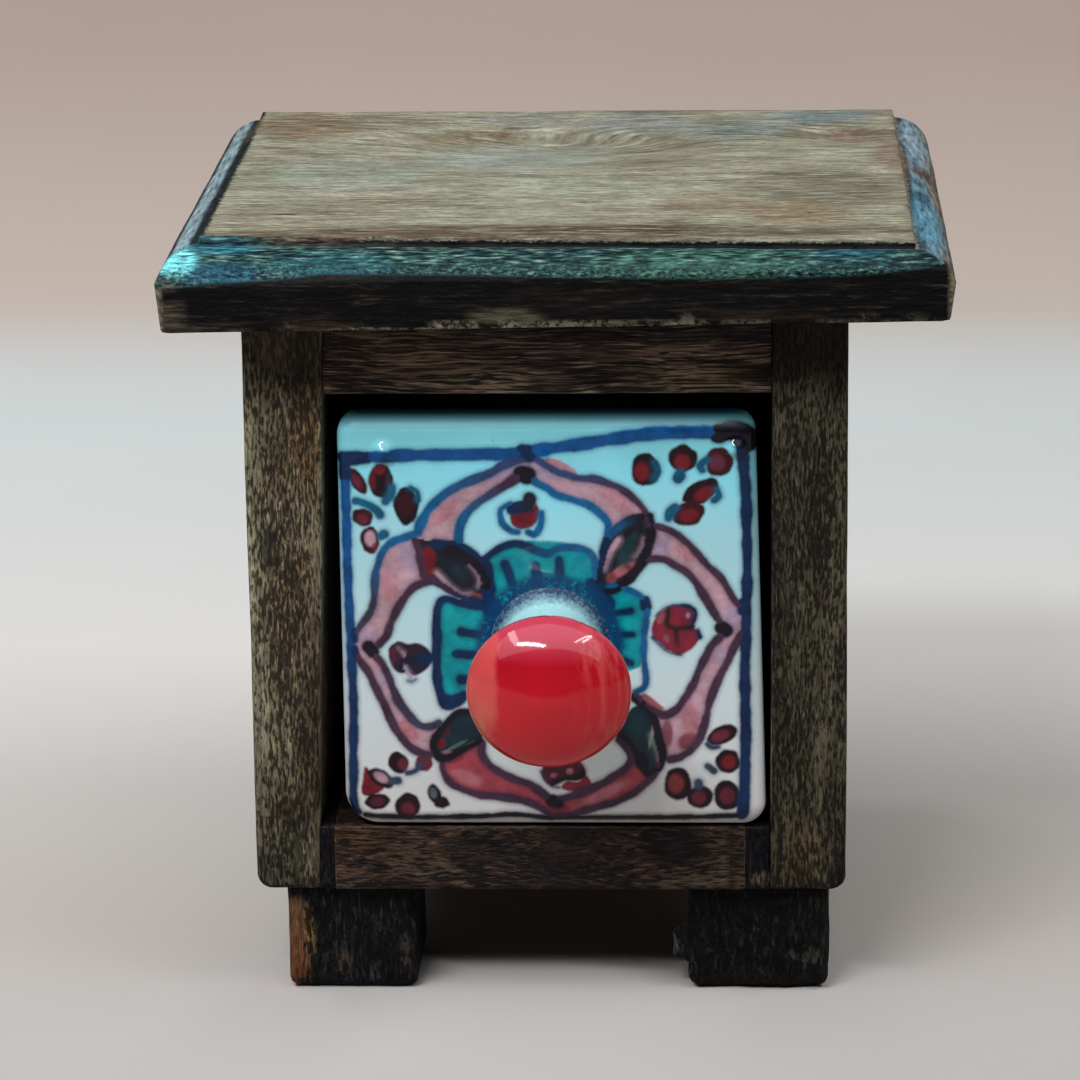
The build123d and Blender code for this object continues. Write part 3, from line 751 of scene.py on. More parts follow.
def makeCapWood():
    # washed mango wood: grain along the front, colour left where a cloth didn't reach
    look = capLook
    material, add = newMaterial("washedMangoCap")
    place = add("TexCoord", out="Object")
    x, y, z = (add("SeparateXYZ", place, out=axis) for axis in range(3))
    dabTone = add("Attribute", out="Color", attribute_name="dabTone")
    dabAmount, ring, stained, mark, wear = (
        add("Attribute", out="Fac", attribute_name=name)
        for name in ("dabAmount", "ring", "stained", "nailMark", "edgeWear"))

    # distance inside the field's edges, in metres; below nothing on the moulding
    frontY, slope = look["fieldFront"]
    frontLine = add("Math", x, -slope, y, operation="MULTIPLY_ADD")
    inFront = add("Math", frontLine, frontY * mm, operation="SUBTRACT")
    sideways = add("Math", x, operation="ABSOLUTE")
    inSide = add("Math", look["fieldHalf"] * mm, sideways, operation="SUBTRACT")
    inField = add("Math", inFront, inSide, operation="MINIMUM")

    # the field's grain runs along the front and swirls near the back
    grain = add("CombineXYZ", x, ring, z)
    figure = grainPattern(add, grain, "X", 4.5, 26, 4.0, 0.6)
    cloud = grainPattern(add, place, "X", 5, 9, 5.0, 0.65)
    lines = grainPattern(add, grain, "X", 0.8, 7, 3.0, 0.65)
    fibre = grainPattern(add, grain, "X", 0.42, 1.3, 3.0, 0.65)
    slant = grainPattern(add, place, "X", 0.42, 2.4, 3.0, 0.6,
                         Rotation=(0, 0, math.radians(look["slantAngle"])))
    stipple = grainPattern(add, place, "X", 0.4, 0.8, 3.0, 0.7)
    rubbed = grainPattern(add, place, "Y", 0.8, 5, 4.0, 0.65)
    saw = grainPattern(add, place, "X", 0.7, 6, 4.0, 0.7)

    # field: cloudy, with light and dark lines where it is well soaked
    tone = add("ValToRGB", figure, stops=look["fieldTones"])
    soaked = add("MapRange", cloud, 0.32, 0.6, 0.45, 1.25)
    soaked = add("Math", soaked, dabAmount, operation="MULTIPLY", use_clamp=True)
    tone = add("Mix", soaked, tone, dabTone, **over)
    tone = add("Mix", 1.0, tone, add("MapRange", cloud, 0.35, 0.65, 0.82, 1.14), **times)
    lineLoad = add("MapRange", cloud, 0.35, 0.6, 0.3, 1.0)
    for span, colour in (((0.47, 0.37, 0.0, 0.55), look["lightLine"]),
                         ((0.53, 0.64, 0.0, 0.7), look["lineTone"])):
        lineMask = add("MapRange", lines, *span)
        lineMask = add("Math", lineMask, lineLoad, operation="MULTIPLY")
        tone = add("Mix", lineMask, tone, colour, **over)
    fibreShade = add("MapRange", fibre, 0.3, 0.7, 0.58, 1.4)
    fieldTone = add("Mix", 1.0, tone, fibreShade, **times)

    # moulding: a dark teal wash, scraped in slanted streaks above and stippled below
    lowShare = add("MapRange", z, *((look["topHeight"] - drop) * mm
                                    for drop in look["stippleDrop"]))
    weave = add("Mix", lowShare, slant, stipple)
    wash = add("ValToRGB", weave, stops=look["washTones"])
    dabShade = add("MapRange", weave, 0.36, 0.66, 0.08, 1.9)
    wash = add("Mix", dabAmount, wash, add("Mix", 1.0, dabTone, dabShade, **times), **over)

    # the sides: a dark line of painted shadow at the field's edge, a band of wash partly painted
    # as a highlight, then the worn outer edge
    across = add("MapRange", inSide, 0.0, -look["sideBand"] * mm)
    left, right = (add("ValToRGB", across, stops=look[name])
                   for name in ("leftSide", "rightSide"))
    onRight = add("MapRange", x, -10 * mm, 10 * mm)
    sideTone = add("Mix", dabAmount, add("Mix", onRight, left, right, **over), dabTone, **over)
    rubShade = add("MapRange", rubbed, 0.34, 0.66, 0.3, 1.7)
    sideTone = add("Mix", 1.0, sideTone, rubShade, **times)
    sideShare = add("Math", inFront, inSide, operation="SUBTRACT")
    sideShare = add("MapRange", sideShare, 0.0, 0.8 * mm)
    wash = add("Mix", sideShare, wash, sideTone, **over)

    # sawn front edge and ends
    frontTone = add("ValToRGB", saw, stops=look["frontTones"])
    sawShade = add("MapRange", saw, 0.36, 0.64, 0.05, 1.5)
    sawn = add("Mix", 1.0, dabTone, sawShade, **times)
    lowDab = add("MapRange", stained, 1.0 * mm, 2.2 * mm)
    lowDab = add("Math", lowDab, dabAmount, operation="MULTIPLY")
    frontTone = add("Mix", lowDab, frontTone, sawn, **over)
    endTone = add("ValToRGB", rubbed, stops=look["endTones"])
    onEnd = add("MapRange", sideways, *(end * mm for end in look["endSpan"]))
    edgeTone = add("Mix", onEnd, frontTone, endTone, **over)
    stained = add("Math", stipple, 1.6 * mm, stained, operation="MULTIPLY_ADD")
    onFront = add("MapRange", stained, 0.6 * mm, 1.0 * mm)
    mouldTone = add("Mix", onFront, wash, edgeTone, **over)

    # a ragged border; the wash laps over the field at the left end, and elsewhere the step
    # down stays bare
    ragged = add("MapRange", stipple, 0.3, 0.7, -0.5 * mm, 0.5 * mm)
    bareStep = add("MapRange", x, -32 * mm, -12 * mm, -0.6 * mm, 0.6 * mm)
    border = add("Math", inField, ragged, operation="ADD")
    border = add("Math", border, bareStep, operation="ADD")
    onField = add("MapRange", border, -0.1 * mm, 0.2 * mm)
    tone = add("Mix", onField, mouldTone, fieldTone, **over)

    # painted shadow in the groove at the foot of the step, at the front only
    lip = look["topHeight"] + look["lip"]
    ragTop = add("Math", stipple, 1.2 * mm, z, operation="MULTIPLY_ADD")
    grooveShade = add("MapRange", inFront, 0.4 * mm, 0.2 * mm)
    for limit in ((inFront, -0.8 * mm, -0.4 * mm), (ragTop, (lip - 0.4) * mm, (lip - 0.6) * mm),
                  (sideShare, 0.5, 0.0), (x, -18 * mm, -34 * mm, 1.0, 0.5)):
        grooveShade = add("Math", grooveShade, add("MapRange", *limit), operation="MULTIPLY")
    tone = add("Mix", grooveShade, tone, look["grooveShadeTone"], **over)

    # nails driven flush and filled: small dark marks on the field
    tone = add("Mix", mark, tone, look["nailTone"], **over)
    # the pale lower front edge: wear, with a painted highlight along its arris
    rubMask = add("MapRange", rubbed, 0.42, 0.56, 0.05, 0.9)
    rubMask = add("Math", rubMask, wear, operation="MULTIPLY", use_clamp=True)
    tone = add("Mix", rubMask, tone, look["paleEdge"], **over)

    relief = add("Math", lines, -1.3, fibre, operation="MULTIPLY_ADD")
    relief = add("Math", weave, 0.8, relief, operation="MULTIPLY_ADD")
    finishSurface(add, tone, relief, 0.15, 0.8, 0.58, 0.14)
    return material


def buildCap():
    look = capLook
    bm = workCopy("cap_board", nailSpots["cap"])
    cutIntoGrid(bm, look["cutStep"])
    sharpness = wearBoard(bm, *look["wear"], "X")
    places = spotsOf(bm)
    x, y, z = places.T
    mesh = dressNode(bm, "capBoard", makeCapWood(), "case", "cap_board").data

    # only the lower front edge is made pale, most of all left of the middle: wear, with a painted
    # highlight along its arris
    middle, slope = look["underside"]
    sway = np.array([noise.noise(Vector((place / 4, 2.5, 0))) for place in x])
    foot = 1 - smoothShare(z - middle - slope * x - 1.3 * sway, 0.1, 0.6)
    front = 1 - smoothShare(y, look["frontFace"] + 1.5, look["frontFace"] + 3)
    along = np.interp(x, *np.array(look["paleFoot"]).T)
    worn = np.maximum(1.6 * sharpness, 0.8) * foot * front * along
    putAttribute(mesh, "edgeWear", np.minimum(worn, 1))

    # how far each spot is below the line where the wash ends
    atFront = 1 - smoothShare(y, look["frontFace"] + 2, look["frontFace"] + 5)
    line = np.interp(x, *np.array(look["stainLine"]).T)
    line = look["sideStain"] + (line - look["sideStain"]) * atFront
    putAttribute(mesh, "stained", (line - z) * mm)

    ring = y.copy()
    for (midX, midY), (halfX, halfY), push in look["swirls"]:
        gap = ((x - midX) / halfX) ** 2 + ((y - midY) / halfY) ** 2
        ring += push * np.exp(-gap)
    putAttribute(mesh, "ring", ring * mm)

    onTop = smoothShare(z, look["topHeight"] - 0.5, look["topHeight"] - 0.3)
    mark = np.zeros(len(places))
    left, right, halfWide, strength = look["nailMark"]
    for nailX, nailY in nailSpots["cap"]:
        gap = np.hypot((x - nailX) / (left if nailX < 0 else right), (y - nailY) / halfWide)
        mark = np.maximum(mark, 1 - smoothShare(gap, 0.5, 1.3))
    putAttribute(mesh, "nailMark", strength * mark * onTop)
    putDabs(mesh, places, look["dabs"])
    print("cap built:", len(mesh.polygons), "faces")


# Drawer: cast white ware with a painted front, glazed all over and fired once
# The pattern is drawn as strokes and fills on the front face: x across, z up, millimetres.

paints = {
    "cobalt": "#084c86", "navy": "#08264c", "ocean": "#14507e", "sea": "#0b5a88",
    "steel": "#5a6a84", "night": "#150f1c", "ink": "#3a384e", "plum": "#432a3e",
    "purple": "#2f4068", "lavender": "#ad96b0", "rose": "#c49aa4", "blush": "#c27e88",
    "salmon": "#ac6068", "brick": "#a8444e", "rust": "#b8626a", "blood": "#741824",
    "maroon": "#4e1c28", "shell": "#b49098", "teal": "#04989e", "deepTeal": "#047f8c",
    "lightTeal": "#12a2a4", "char": "#191e2a", "slate": "#162e3a", "moss": "#1e4044",
    "sage": "#5c7a66", "berry": "#6a2434", "berryDark": "#54202e", "berryPale": "#6a2c3c",
    "berryRed": "#761822", "berrySlate": "#5c6a74", "drop": "#220b16", "dropRed": "#3c0e1a",
    "tail": "#0e5674", "lowTail": "#34465c", "coral": "#8c3c38", "dusk": "#7c626e",
    "cherry": "#8c2438", "bark": "#2a1a1c", "grape": "#301a2a", "grapeDark": "#1c1c2c",
}

# tone, then the outline: x and z by turns
fills = [
    ("rose", -20.3, 70.6, -19.7, 72.9, -18.5, 74.8, -16.8, 76.5, -14.7, 77.9, -12, 79.1, -9.7, 80,
     -8.2, 81, -6.3, 81.8, -4.7, 82.3, -1.9, 82.2, 0.1, 81.9, 2.4, 80.4, 2.9, 79.2, 5, 79.1,
     6.9, 78.5, 8.8, 77.7, 10.7, 76.2, 12.1, 74.6, 12.9, 72.9, 10.1, 70, 6.9, 69.5, 7.1, 72,
     6.7, 73.1, 5.5, 74.3, 3.8, 75.4, 1.7, 76.1, -0.5, 76.8, -1.6, 77.7, -3.2, 78.6, -4.8, 80,
     -5.6, 79.6, -7, 78.6, -9.2, 77.2, -11.3, 75.8, -13, 74.3, -13.9, 72.9, -14.4, 71.5,
     -14.5, 69.4),
    ("rose", -18.9, 70.6, -21.1, 70.8, -22.5, 70.3, -24.2, 69.6, -25.4, 68.4, -26.1, 66.7,
     -26.6, 64.8, -26.7, 62.9, -26.9, 61, -27.5, 59.1, -28.5, 57.7, -29.8, 55.9, -30.1, 54.6,
     -29.9, 53.5, -29.4, 52.1, -28.2, 50.5, -27.3, 48.6, -26.3, 46.4, -25.4, 44.3, -24.4, 41.9,
     -23.2, 40, -22, 38.6, -20.6, 37.8, -18.1, 37.5, -17.3, 42, -18.7, 41.9, -20.4, 41.9,
     -22, 43.3, -23.5, 45.5, -24.4, 47.6, -25.1, 49.8, -26.1, 51.7, -27.2, 53, -27.3, 53.8,
     -26.3, 54.3, -25.1, 55.7, -24.4, 57.7, -23.5, 59.6, -22.3, 61.5, -21.1, 62.9, -19.7, 63.6,
     -17.9, 64.4),
    ("rose", 12.7, 71.8, 15.2, 71.7, 16.9, 70.8, 18.6, 69.3, 20, 67.7, 21.4, 66, 22.9, 64.6,
     24.1, 62.7, 25, 61.2, 26.2, 59.6, 26.5, 57.8, 26.2, 56, 25, 53.8, 24.1, 51.7, 23.1, 49.8,
     22.1, 47.4, 21.4, 45.2, 21, 43.3, 20.5, 41.4, 19.8, 39.5, 18.6, 38.1, 17.1, 37.1, 14.7, 36.8,
     14, 40, 13.7, 44.2, 15, 43.6, 16.7, 44.5, 17.9, 46.2, 19.1, 48.3, 20, 50.5, 21, 52.6,
     21.9, 54.3, 23.3, 55.7, 23.3, 57.2, 22.4, 58.6, 21.2, 60.8, 20, 62.9, 18.6, 64.8, 16.9, 66,
     15.2, 67, 13.6, 67.2, 11.7, 66.9),
    ("salmon", 11, 46.2, 12.1, 46.9, 13.4, 46, 14.9, 44.6, 13.5, 44.1, 11.9, 45),
    ("brick", -17.5, 37.6, -17.3, 34.8, -16.3, 33.1, -14.4, 32.1, -12.3, 31.4, -9.9, 31.1,
     -7.5, 30.8, -5.1, 30.2, -3.2, 29.3, -1.6, 28.1, 0.5, 28.1, 2.9, 28.8, 5.2, 29.5, 7.6, 30.2,
     10, 31.4, 11.9, 32.9, 13.3, 34.3, 14.1, 36.2, 11.5, 38, 8.5, 40, 9.5, 38.6, 10, 37.1,
     9.3, 35.5, 7.6, 34.3, 5.7, 33.1, 3.6, 32.1, 1.4, 31.2, -1, 30.5, -3.2, 31.9, -4.9, 33.1,
     -7, 33.8, -8.9, 34.8, -10.6, 36, -11.6, 37.6, -11.5, 39.6, -14.9, 38.4),
    ("teal", -10.9, 67, -9.7, 68.2, -8, 69.1, -6.3, 69.6, -4.7, 69.9, -1.9, 69.9, 1.1, 69.6,
     3.1, 68.9, 4.3, 68.1, 5, 67, 5.2, 64.8, 5.2, 63.1, 4.1, 60, -1.5, 58, -7.9, 60, -9.9, 62.5,
     -10.2, 64.5),
    ("teal", -10.3, 60.4, -12.4, 60.3, -14.4, 60.6, -16.4, 61, -17.4, 60.2, -17.8, 58, -17.9, 55,
     -18, 52, -17.9, 50, -17.5, 47.5, -16.9, 45.6, -15.4, 45.9, -14.2, 46.6, -10.9, 48.4, -9.1, 54,
     -9.3, 58.6),
    ("teal", 6.7, 62.6, 8.6, 63, 10.6, 62.2, 11.9, 61, 12.4, 59.5, 12.3, 58, 12, 56, 11.9, 53,
     11.5, 51, 10.1, 50.4, 7.1, 49.6, 5.7, 54, 5.7, 60),
    ("teal", -7.7, 47, -8.3, 43.4, -7.3, 41, -4.9, 40, -1.5, 39.8, 1.9, 40, 4.1, 41.2, 5.1, 43.6,
     4.5, 47, -1.5, 50),
    ("char", -20.9, 70, -18.9, 70, -16.5, 69.6, -14.4, 69, -11.9, 67.3, -10.4, 65, -10.1, 62.4,
     -10.4, 60.7, -12.4, 60.9, -14.9, 61.9, -17.4, 63.4, -19.5, 64.4, -20.1, 67),
    ("char", 6.7, 70.4, 8.1, 71.6, 10.1, 72.8, 12.7, 73.6, 13.1, 70, 12.1, 67, 10.7, 64.9, 8.6, 63,
     6.1, 62, 5.4, 64.5, 6.1, 67),
    ("slate", -18.2, 39.8, -16.9, 42, -15.1, 43.9, -13.4, 43.9, -11.5, 41.8, -11.5, 40,
     -12.9, 39.4, -15.7, 37.9, -16.9, 37, -18.4, 37.6),
    ("slate", 10.1, 44.7, 11.6, 45, 13.1, 43.4, 14.1, 40, 14.6, 37.5, 14.1, 35.6, 12.6, 34.5,
     11.1, 37, 9.6, 39.5, 8.1, 40.5, 9.1, 42.6),
    ("blood", -28.7, 35.7, -27.3, 34, -25.9, 32.5, -27.7, 31.2, -29.3, 31.5, -29.1, 33.6),
    ("berryRed", -7.1, 73.6, -6.7, 72.2, -5.3, 71.5, -3.9, 72, -2.9, 73.2, -2.8, 74.4, -3.5, 75.6,
     -4.5, 74.9, -5.5, 74.6, -6.5, 74.6),
    ("grape", -24.9, 52.9, -24.6, 54.1, -23.4, 54.8, -22.1, 54.4, -20.7, 54.5, -19.6, 54,
     -18.9, 53.1, -18.6, 52, -19.2, 50.8, -20.4, 49.8, -21.4, 49.5, -22.5, 49.9, -23.7, 50.1,
     -24.6, 51.1),
    ("cherry", 13.2, 57.1, 13.9, 58.7, 15.6, 60, 17.1, 60.3, 18.7, 60, 19.5, 59.1, 19.4, 58,
     18.9, 57.2, 19.2, 56.8, 20, 56.4, 20.2, 55.5, 19.7, 54.5, 18.6, 53.3, 17.1, 52.8, 15.6, 53.3,
     14.4, 54.3, 13.4, 55.3, 13.1, 56.3),
    ("maroon", -2.8, 35.8, -2.3, 36.5, 2.2, 36.7, 3.1, 35.3, 3.3, 34, 2.3, 33.5, 0.5, 33.5,
     -1.5, 32.7, -2.6, 33.7, -3, 34.8),
    ("cherry", 0.6, 33.5, 2.4, 33.5, 3.4, 34.4, 4.3, 33.2, 3.6, 32.2, 2.2, 31.8, 0.6, 32,
     -0.2, 32.5),
]

# tone, or the tones at the start and the end, then the width and the line
strokes = {
    "frame": [
        ("cobalt", 1.89, -30.9, 82, -25.9, 82.5, -16.9, 82.7, -6.9, 82.8, -4.3, 83),
        ("cobalt", 1.89, -4.3, 83, -1.9, 83.5, 3.1, 84.2, 8.1, 85, 13.1, 85.7, 18.1, 85.9,
         23.1, 85.9, 26.1, 86),
        ("navy", 1.61, 26.1, 84.8, 26.5, 80, 26.8, 75, 26.9, 65, 26.7, 55, 26.6, 50, 26.7, 40,
         26.4, 30, 26.1, 28.3),
        ("night", 0.95, 26.1, 28.2, 18.1, 27.9, 8.1, 27.8, 0.1, 27.8, -1.9, 27.7, -6.9, 28.3,
         -11.9, 28, -21.9, 27.8, -28.9, 28.1),
        ("cobalt navy", 1.44, -30.7, 82, -30.6, 75, -30.6, 65, -30.4, 55, -30.3, 50, -30.2, 45,
         -30.4, 38, -30.5, 30, -29.9, 28.5),
    ],
    "knots": [
        ("navy", 2.2, -30.9, 82, -28.9, 82.2, -27.4, 82.3),
        ("navy", 2.6, -5.1, 83, -4.1, 82.8),
        ("navy", 1.7, -30.7, 81.5, -30.7, 79.2),
        ("navy", 1.8, -30.1, 56.2, -30, 55),
        ("navy", 1.7, -30.1, 53.6, -29.9, 52.6),
        ("navy", 1.9, 26.5, 60.5, 26.5, 59.5),
    ],
    "corner patch": [
        ("night", 3, 22.9, 85.7, 24.6, 86.1, 26.3, 85.6, 27.4, 84.5),
        ("night", 1.9, 22.7, 85.9, 25.1, 85.6, 26.7, 83.6),
    ],
    "top petal": [
        ("sea purple", 1.38, -20.3, 71.2, -19.7, 72.9, -18.5, 74.8, -16.8, 76.5, -14.7, 77.9,
         -12, 79.1, -9.7, 80, -8.2, 81, -6.3, 81.8, -4.7, 82.2),
        ("purple plum", 1.12, -3.2, 82.1, -1.9, 81.2, -0.5, 80.3, 1.2, 79.7, 2.9, 79.2, 5, 79.1,
         6.9, 78.5, 8.8, 77.7, 10.7, 76.2, 12.1, 74.6, 12.9, 72.9, 13.1, 72),
        ("sea plum", 1.38, -14.5, 69.8, -14.4, 71.5, -13.9, 72.9, -13, 74.3, -11.3, 75.8,
         -9.2, 77.2, -7, 78.6, -5.6, 79.6, -4.8, 80.3),
        ("sea", 1.19, -4.8, 80.2, -3.2, 78.6, -1.6, 77.7, -0.5, 76.8, 1.7, 76.1, 3.8, 75.4,
         5.5, 74.3, 6.7, 73.1, 7.1, 72, 6.9, 70.5),
        ("night", 2.38, -5.3, 79.9, -4.5, 79.6),
    ],
    "left petal": [
        ("sea ink", 1.12, -20.5, 71, -21.1, 70.8, -22.5, 70.3, -24.2, 69.6, -25.4, 68.4,
         -26.1, 66.7, -26.6, 64.8, -26.7, 62.9, -26.9, 61, -27.5, 59.1, -28.5, 57.7, -29.8, 55.9),
        ("plum", 1.25, -29.9, 53.5, -29.4, 52.1, -28.2, 50.5, -27.3, 48.6, -26.3, 46.4,
         -25.4, 44.3, -24.4, 41.9, -23.2, 40, -22, 38.6, -20.6, 37.8, -19.2, 37.5),
        ("plum", 1.25, -18.3, 64, -19.7, 63.6, -21.1, 62.9, -22.3, 61.5, -23.5, 59.6, -24.4, 57.7,
         -25.1, 55.7, -26.3, 54.3),
        ("night", 2.12, -27.8, 53.9, -27.2, 53.2),
        ("plum ink", 1.25, -27.2, 53, -26.1, 51.7, -25.1, 49.8, -24.4, 47.6, -23.5, 45.5,
         -22, 43.3, -20.4, 41.9, -18.7, 41.9, -17.8, 42.3),
    ],
    "right petal": [
        ("plum", 1.12, 13.3, 72.2, 15.2, 71.7, 16.9, 70.8, 18.6, 69.3, 20, 67.7, 21.4, 66,
         22.9, 64.6, 24.1, 62.7, 25, 61.2, 26.2, 59.6),
        ("plum", 1.25, 26.2, 56, 25, 53.8, 24.1, 51.7, 23.1, 49.8, 22.1, 47.4, 21.4, 45.2,
         21, 43.3, 20.5, 41.4, 19.8, 39.5, 18.6, 38.1, 17.1, 37.1, 15.7, 36.8),
        ("plum", 1.25, 12.1, 67, 13.6, 67.2, 15.2, 67, 16.9, 66, 18.6, 64.8, 20, 62.9, 21.2, 60.8,
         22.4, 58.6, 23.3, 57.3),
        ("night", 2.12, 23.2, 56.9, 23.8, 56.4),
        ("plum", 1.25, 23.3, 55.7, 21.9, 54.3, 21, 52.6, 20, 50.5, 19.1, 48.3, 17.9, 46.2,
         16.7, 44.5, 15, 43.6, 13.3, 44.3, 11.7, 45.2, 10.7, 46.7),
    ],
    "foot petal": [
        ("plum", 1.19, -17.5, 36.2, -17.3, 34.8, -16.3, 33.1, -14.4, 32.1, -12.3, 31.4, -9.9, 31.1,
         -7.5, 30.8, -5.1, 30.2, -3.2, 29.3, -1.6, 28.1),
        ("plum", 1.19, -1.4, 28, 0.5, 28.1, 2.9, 28.8, 5.2, 29.5, 7.6, 30.2, 10, 31.4, 11.9, 32.9,
         13.3, 34.3, 14.3, 36),
        ("plum", 1.25, -11.6, 39.3, -11.6, 37.6, -10.6, 36, -8.9, 34.8, -7, 33.8, -4.9, 33.1,
         -3.2, 31.9, -1.8, 30.7),
        ("night", 2.25, -1.5, 30.5, -0.7, 30.2),
        ("plum", 1.25, -0.5, 30.7, 1.4, 31.2, 3.6, 32.1, 5.7, 33.1, 7.6, 34.3, 9.3, 35.5, 10, 37.1,
         9.5, 38.6, 8.3, 39.8),
    ],
    "upper leaf": [
        ("navy sea", 1.2, -10.9, 67, -9.7, 68.1, -8, 69.1, -6.3, 69.5, -4.7, 69.1, -3, 68.3,
         -1.6, 68, -0.5, 68.6, 1.2, 68.9, 3.1, 68.7, 4.3, 68.1, 5, 67, 5.2, 64.8, 5.2, 63.1),
        ("navy", 1.5, -10.8, 67, -10.2, 64.5, -9.9, 62.5),
        ("navy", 1.3, -7.9, 66.4, -7.3, 65, -6.9, 63.6),
        ("navy", 1.3, -3.5, 66.2, -3.3, 64.8, -3.1, 63.4),
        ("navy", 1.3, -0.1, 67.1, 0, 65.6, 0, 64.2),
    ],
    "left leaf": [
        ("navy", 1.38, -11.3, 60.2, -12.4, 60.2, -14.4, 60.6, -16.4, 61.2, -17.5, 60.4, -17.9, 58,
         -17.9, 55, -18, 52, -18, 50, -17.7, 47.5, -17.1, 45.5, -16.2, 45, -14.9, 45.6,
         -14.2, 46.5),
        ("navy", 1.3, -14.3, 56.2, -13.3, 56, -11.9, 55.8),
        ("navy", 1.3, -15.1, 52.9, -13.9, 52.8, -12.5, 52.7),
        ("navy", 1.3, -14.5, 49, -13.3, 49),
        ("navy", 1.5, -16.9, 46, -15.8, 45.7, -15.1, 46),
    ],
    "right leaf": [
        ("sea ocean", 1.02, 7.1, 62.9, 8.6, 63, 10.6, 62.2, 11.9, 61.3, 12.5, 60, 12.4, 58,
         12.1, 56, 12, 53, 12.1, 51, 12.3, 49, 12, 47.8, 10.7, 47),
        ("navy", 1.6, 12.2, 60.9, 12.4, 60),
        ("navy", 1.1, 5.9, 59, 7.7, 59, 10.1, 59.3),
        ("navy", 1.1, 7.9, 55.6, 9.1, 55.8, 10.4, 55.8),
        ("navy", 1.1, 9.4, 51.8, 10.1, 51.5),
    ],
    "lower leaf": [
        ("sea", 1.08, -7.7, 46.5, -8.3, 43.4, -7.3, 41, -4.9, 40, -1.5, 39.8, 1.9, 40, 4.1, 41.2,
         5.1, 43.6, 4.5, 46.5),
        ("navy", 1.17, -4.9, 42, -4.7, 44),
        ("navy", 1.17, -1.5, 41.8, -1.5, 44.2),
        ("navy", 1.17, 1.9, 42, 1.7, 44),
    ],
    "upper left bud": [
        ("navy", 1.2, -17.9, 69.5, -15.9, 69.5, -14.4, 69.2, -11.9, 67.5, -10.4, 65, -10, 62),
        ("plum navy", 1.1, -19.4, 64.1, -17.4, 63.4, -14.9, 61.9, -12.4, 60.9, -10.1, 60.4),
        ("plum", 1, -20.9, 70.2, -20.3, 68.6, -20.1, 67, -19.7, 64.6),
        ("navy", 1.9, -9.9, 60.4, -9.1, 59.6),
    ],
    "upper right bud": [
        ("navy night", 1.2, 6.9, 70.5, 6.3, 68.6, 6.1, 67, 5.4, 64.5, 5.1, 62.5),
        ("night", 1.4, 12.9, 73.5, 13.2, 71.8, 13.1, 70, 12.1, 67, 10.6, 64.8, 8.6, 63, 6.1, 62),
        ("ocean night", 1.2, 6.9, 70.6, 8.7, 72.2, 10.7, 73.2, 12.7, 73.8),
    ],
    "lower left bud": [
        ("night", 1.1, -11.7, 39.6, -13.3, 38.9, -15.5, 37.6, -16.5, 37, -17.9, 36.9, -18.7, 38.4,
         -18.4, 40, -16.9, 42.2, -15.1, 43.9, -13.5, 44.1),
    ],
    "lower right bud": [
        ("night", 1.2, 10.3, 46.4, 11.7, 45.2, 13.3, 43.4, 14.2, 40, 14.7, 37.4, 14.1, 35.5,
         12.5, 34.6, 11.1, 37, 9.7, 39.4, 8.3, 40.7),
    ],
    "top heart": [
        ("navy char", 1.9, -6.8, 74.6, -5.5, 75, -4.5, 75.2, -4.2, 76.2),
        ("sea", 1.02, -6.9, 75.4, -8.3, 74.6, -8.4, 73.6, -8.1, 72.4, -6.9, 71.4, -5.9, 71.2),
        ("sea", 1.1, -4.5, 71.2, -3.6, 70.8, -3, 71.4, -2.6, 72.6, -2.5, 74),
    ],
    "left heart": [
        ("grapeDark navy", 1.6, -21.9, 52, -20.5, 51.9, -19.2, 52.2),
        ("berryDark grapeDark", 0.8, -24.3, 53.4, -23.9, 51.6, -23.1, 50.5),
        ("steel", 0.5, -22.2, 48.8, -21.7, 48.6, -21.1, 49),
        ("dusk shell", 0.4, -23.6, 53.8, -23, 53.2, -22.5, 52.5),
        ("lavender", 0.5, -22.6, 50.8, -22.1, 49.8, -21.6, 49),
    ],
    "right heart": [
        ("bark", 0.65, 15.6, 59.7, 15.5, 58.4, 15.4, 57.3, 16.5, 56.7, 17.9, 56.8, 19.1, 57),
        ("navy", 0.6, 17.6, 60.2, 18.8, 59.9, 19.5, 59.1, 19.3, 58, 19, 57.3),
        ("ink navy", 0.35, 13.8, 58.6, 14.8, 59.6, 16.2, 60.2, 17.6, 60.2),
        ("navy plum", 0.5, 13.3, 55.4, 14.4, 54.2, 15.7, 53.2, 17.3, 52.8),
        ("bark maroon", 0.6, 16.6, 56.7, 16.7, 55.4, 16.8, 54.3),
        ("navy", 0.6, 19.8, 56.4, 20.1, 55.4),
    ],
    "foot heart": [
        ("night", 0.8, -1.5, 33, -0.5, 33.5, 0.6, 33.9, 1.9, 33.9, 2.7, 34.4),
        ("maroon night", 0.7, 2.5, 36.2, 3, 35.3, 3.1, 34.4),
        ("plum", 0.4, -3, 35, -2.4, 33.6, -1.5, 32.7, -0.5, 32.5),
    ],
    "last touches": [
        ("shell dusk", 0.68, -17.7, 65.1, -16.7, 64, -15.4, 62.7, -14.1, 61.9, -12.8, 62.1),
        ("dusk", 0.48, -12.9, 66.3, -12.1, 65.2, -11.6, 64, -11.8, 63),
        ("night", 1.9, -15.5, 68.7, -13.2, 67.6, -11.8, 66.3, -10.6, 64.6, -10.2, 62.8),
        ("rose dusk", 0.77, 8.5, 70, 7.4, 68.4, 6.8, 66.7, 6.5, 65.5),
        ("dusk", 0.48, 12, 70.3, 11.8, 69.1, 11.3, 68.1, 10.7, 67.5),
        ("sage dusk", 0.36, 12.8, 40.6, 13.5, 38.6, 14, 36.7, 14.1, 35.5),
        ("navy", 2.6, 4.8, 63.2, 5.8, 61.7, 6.6, 60.3),
        ("navy", 2.2, -10.4, 62.2, -10.1, 60.9, -10.3, 59.6),
    ],
}

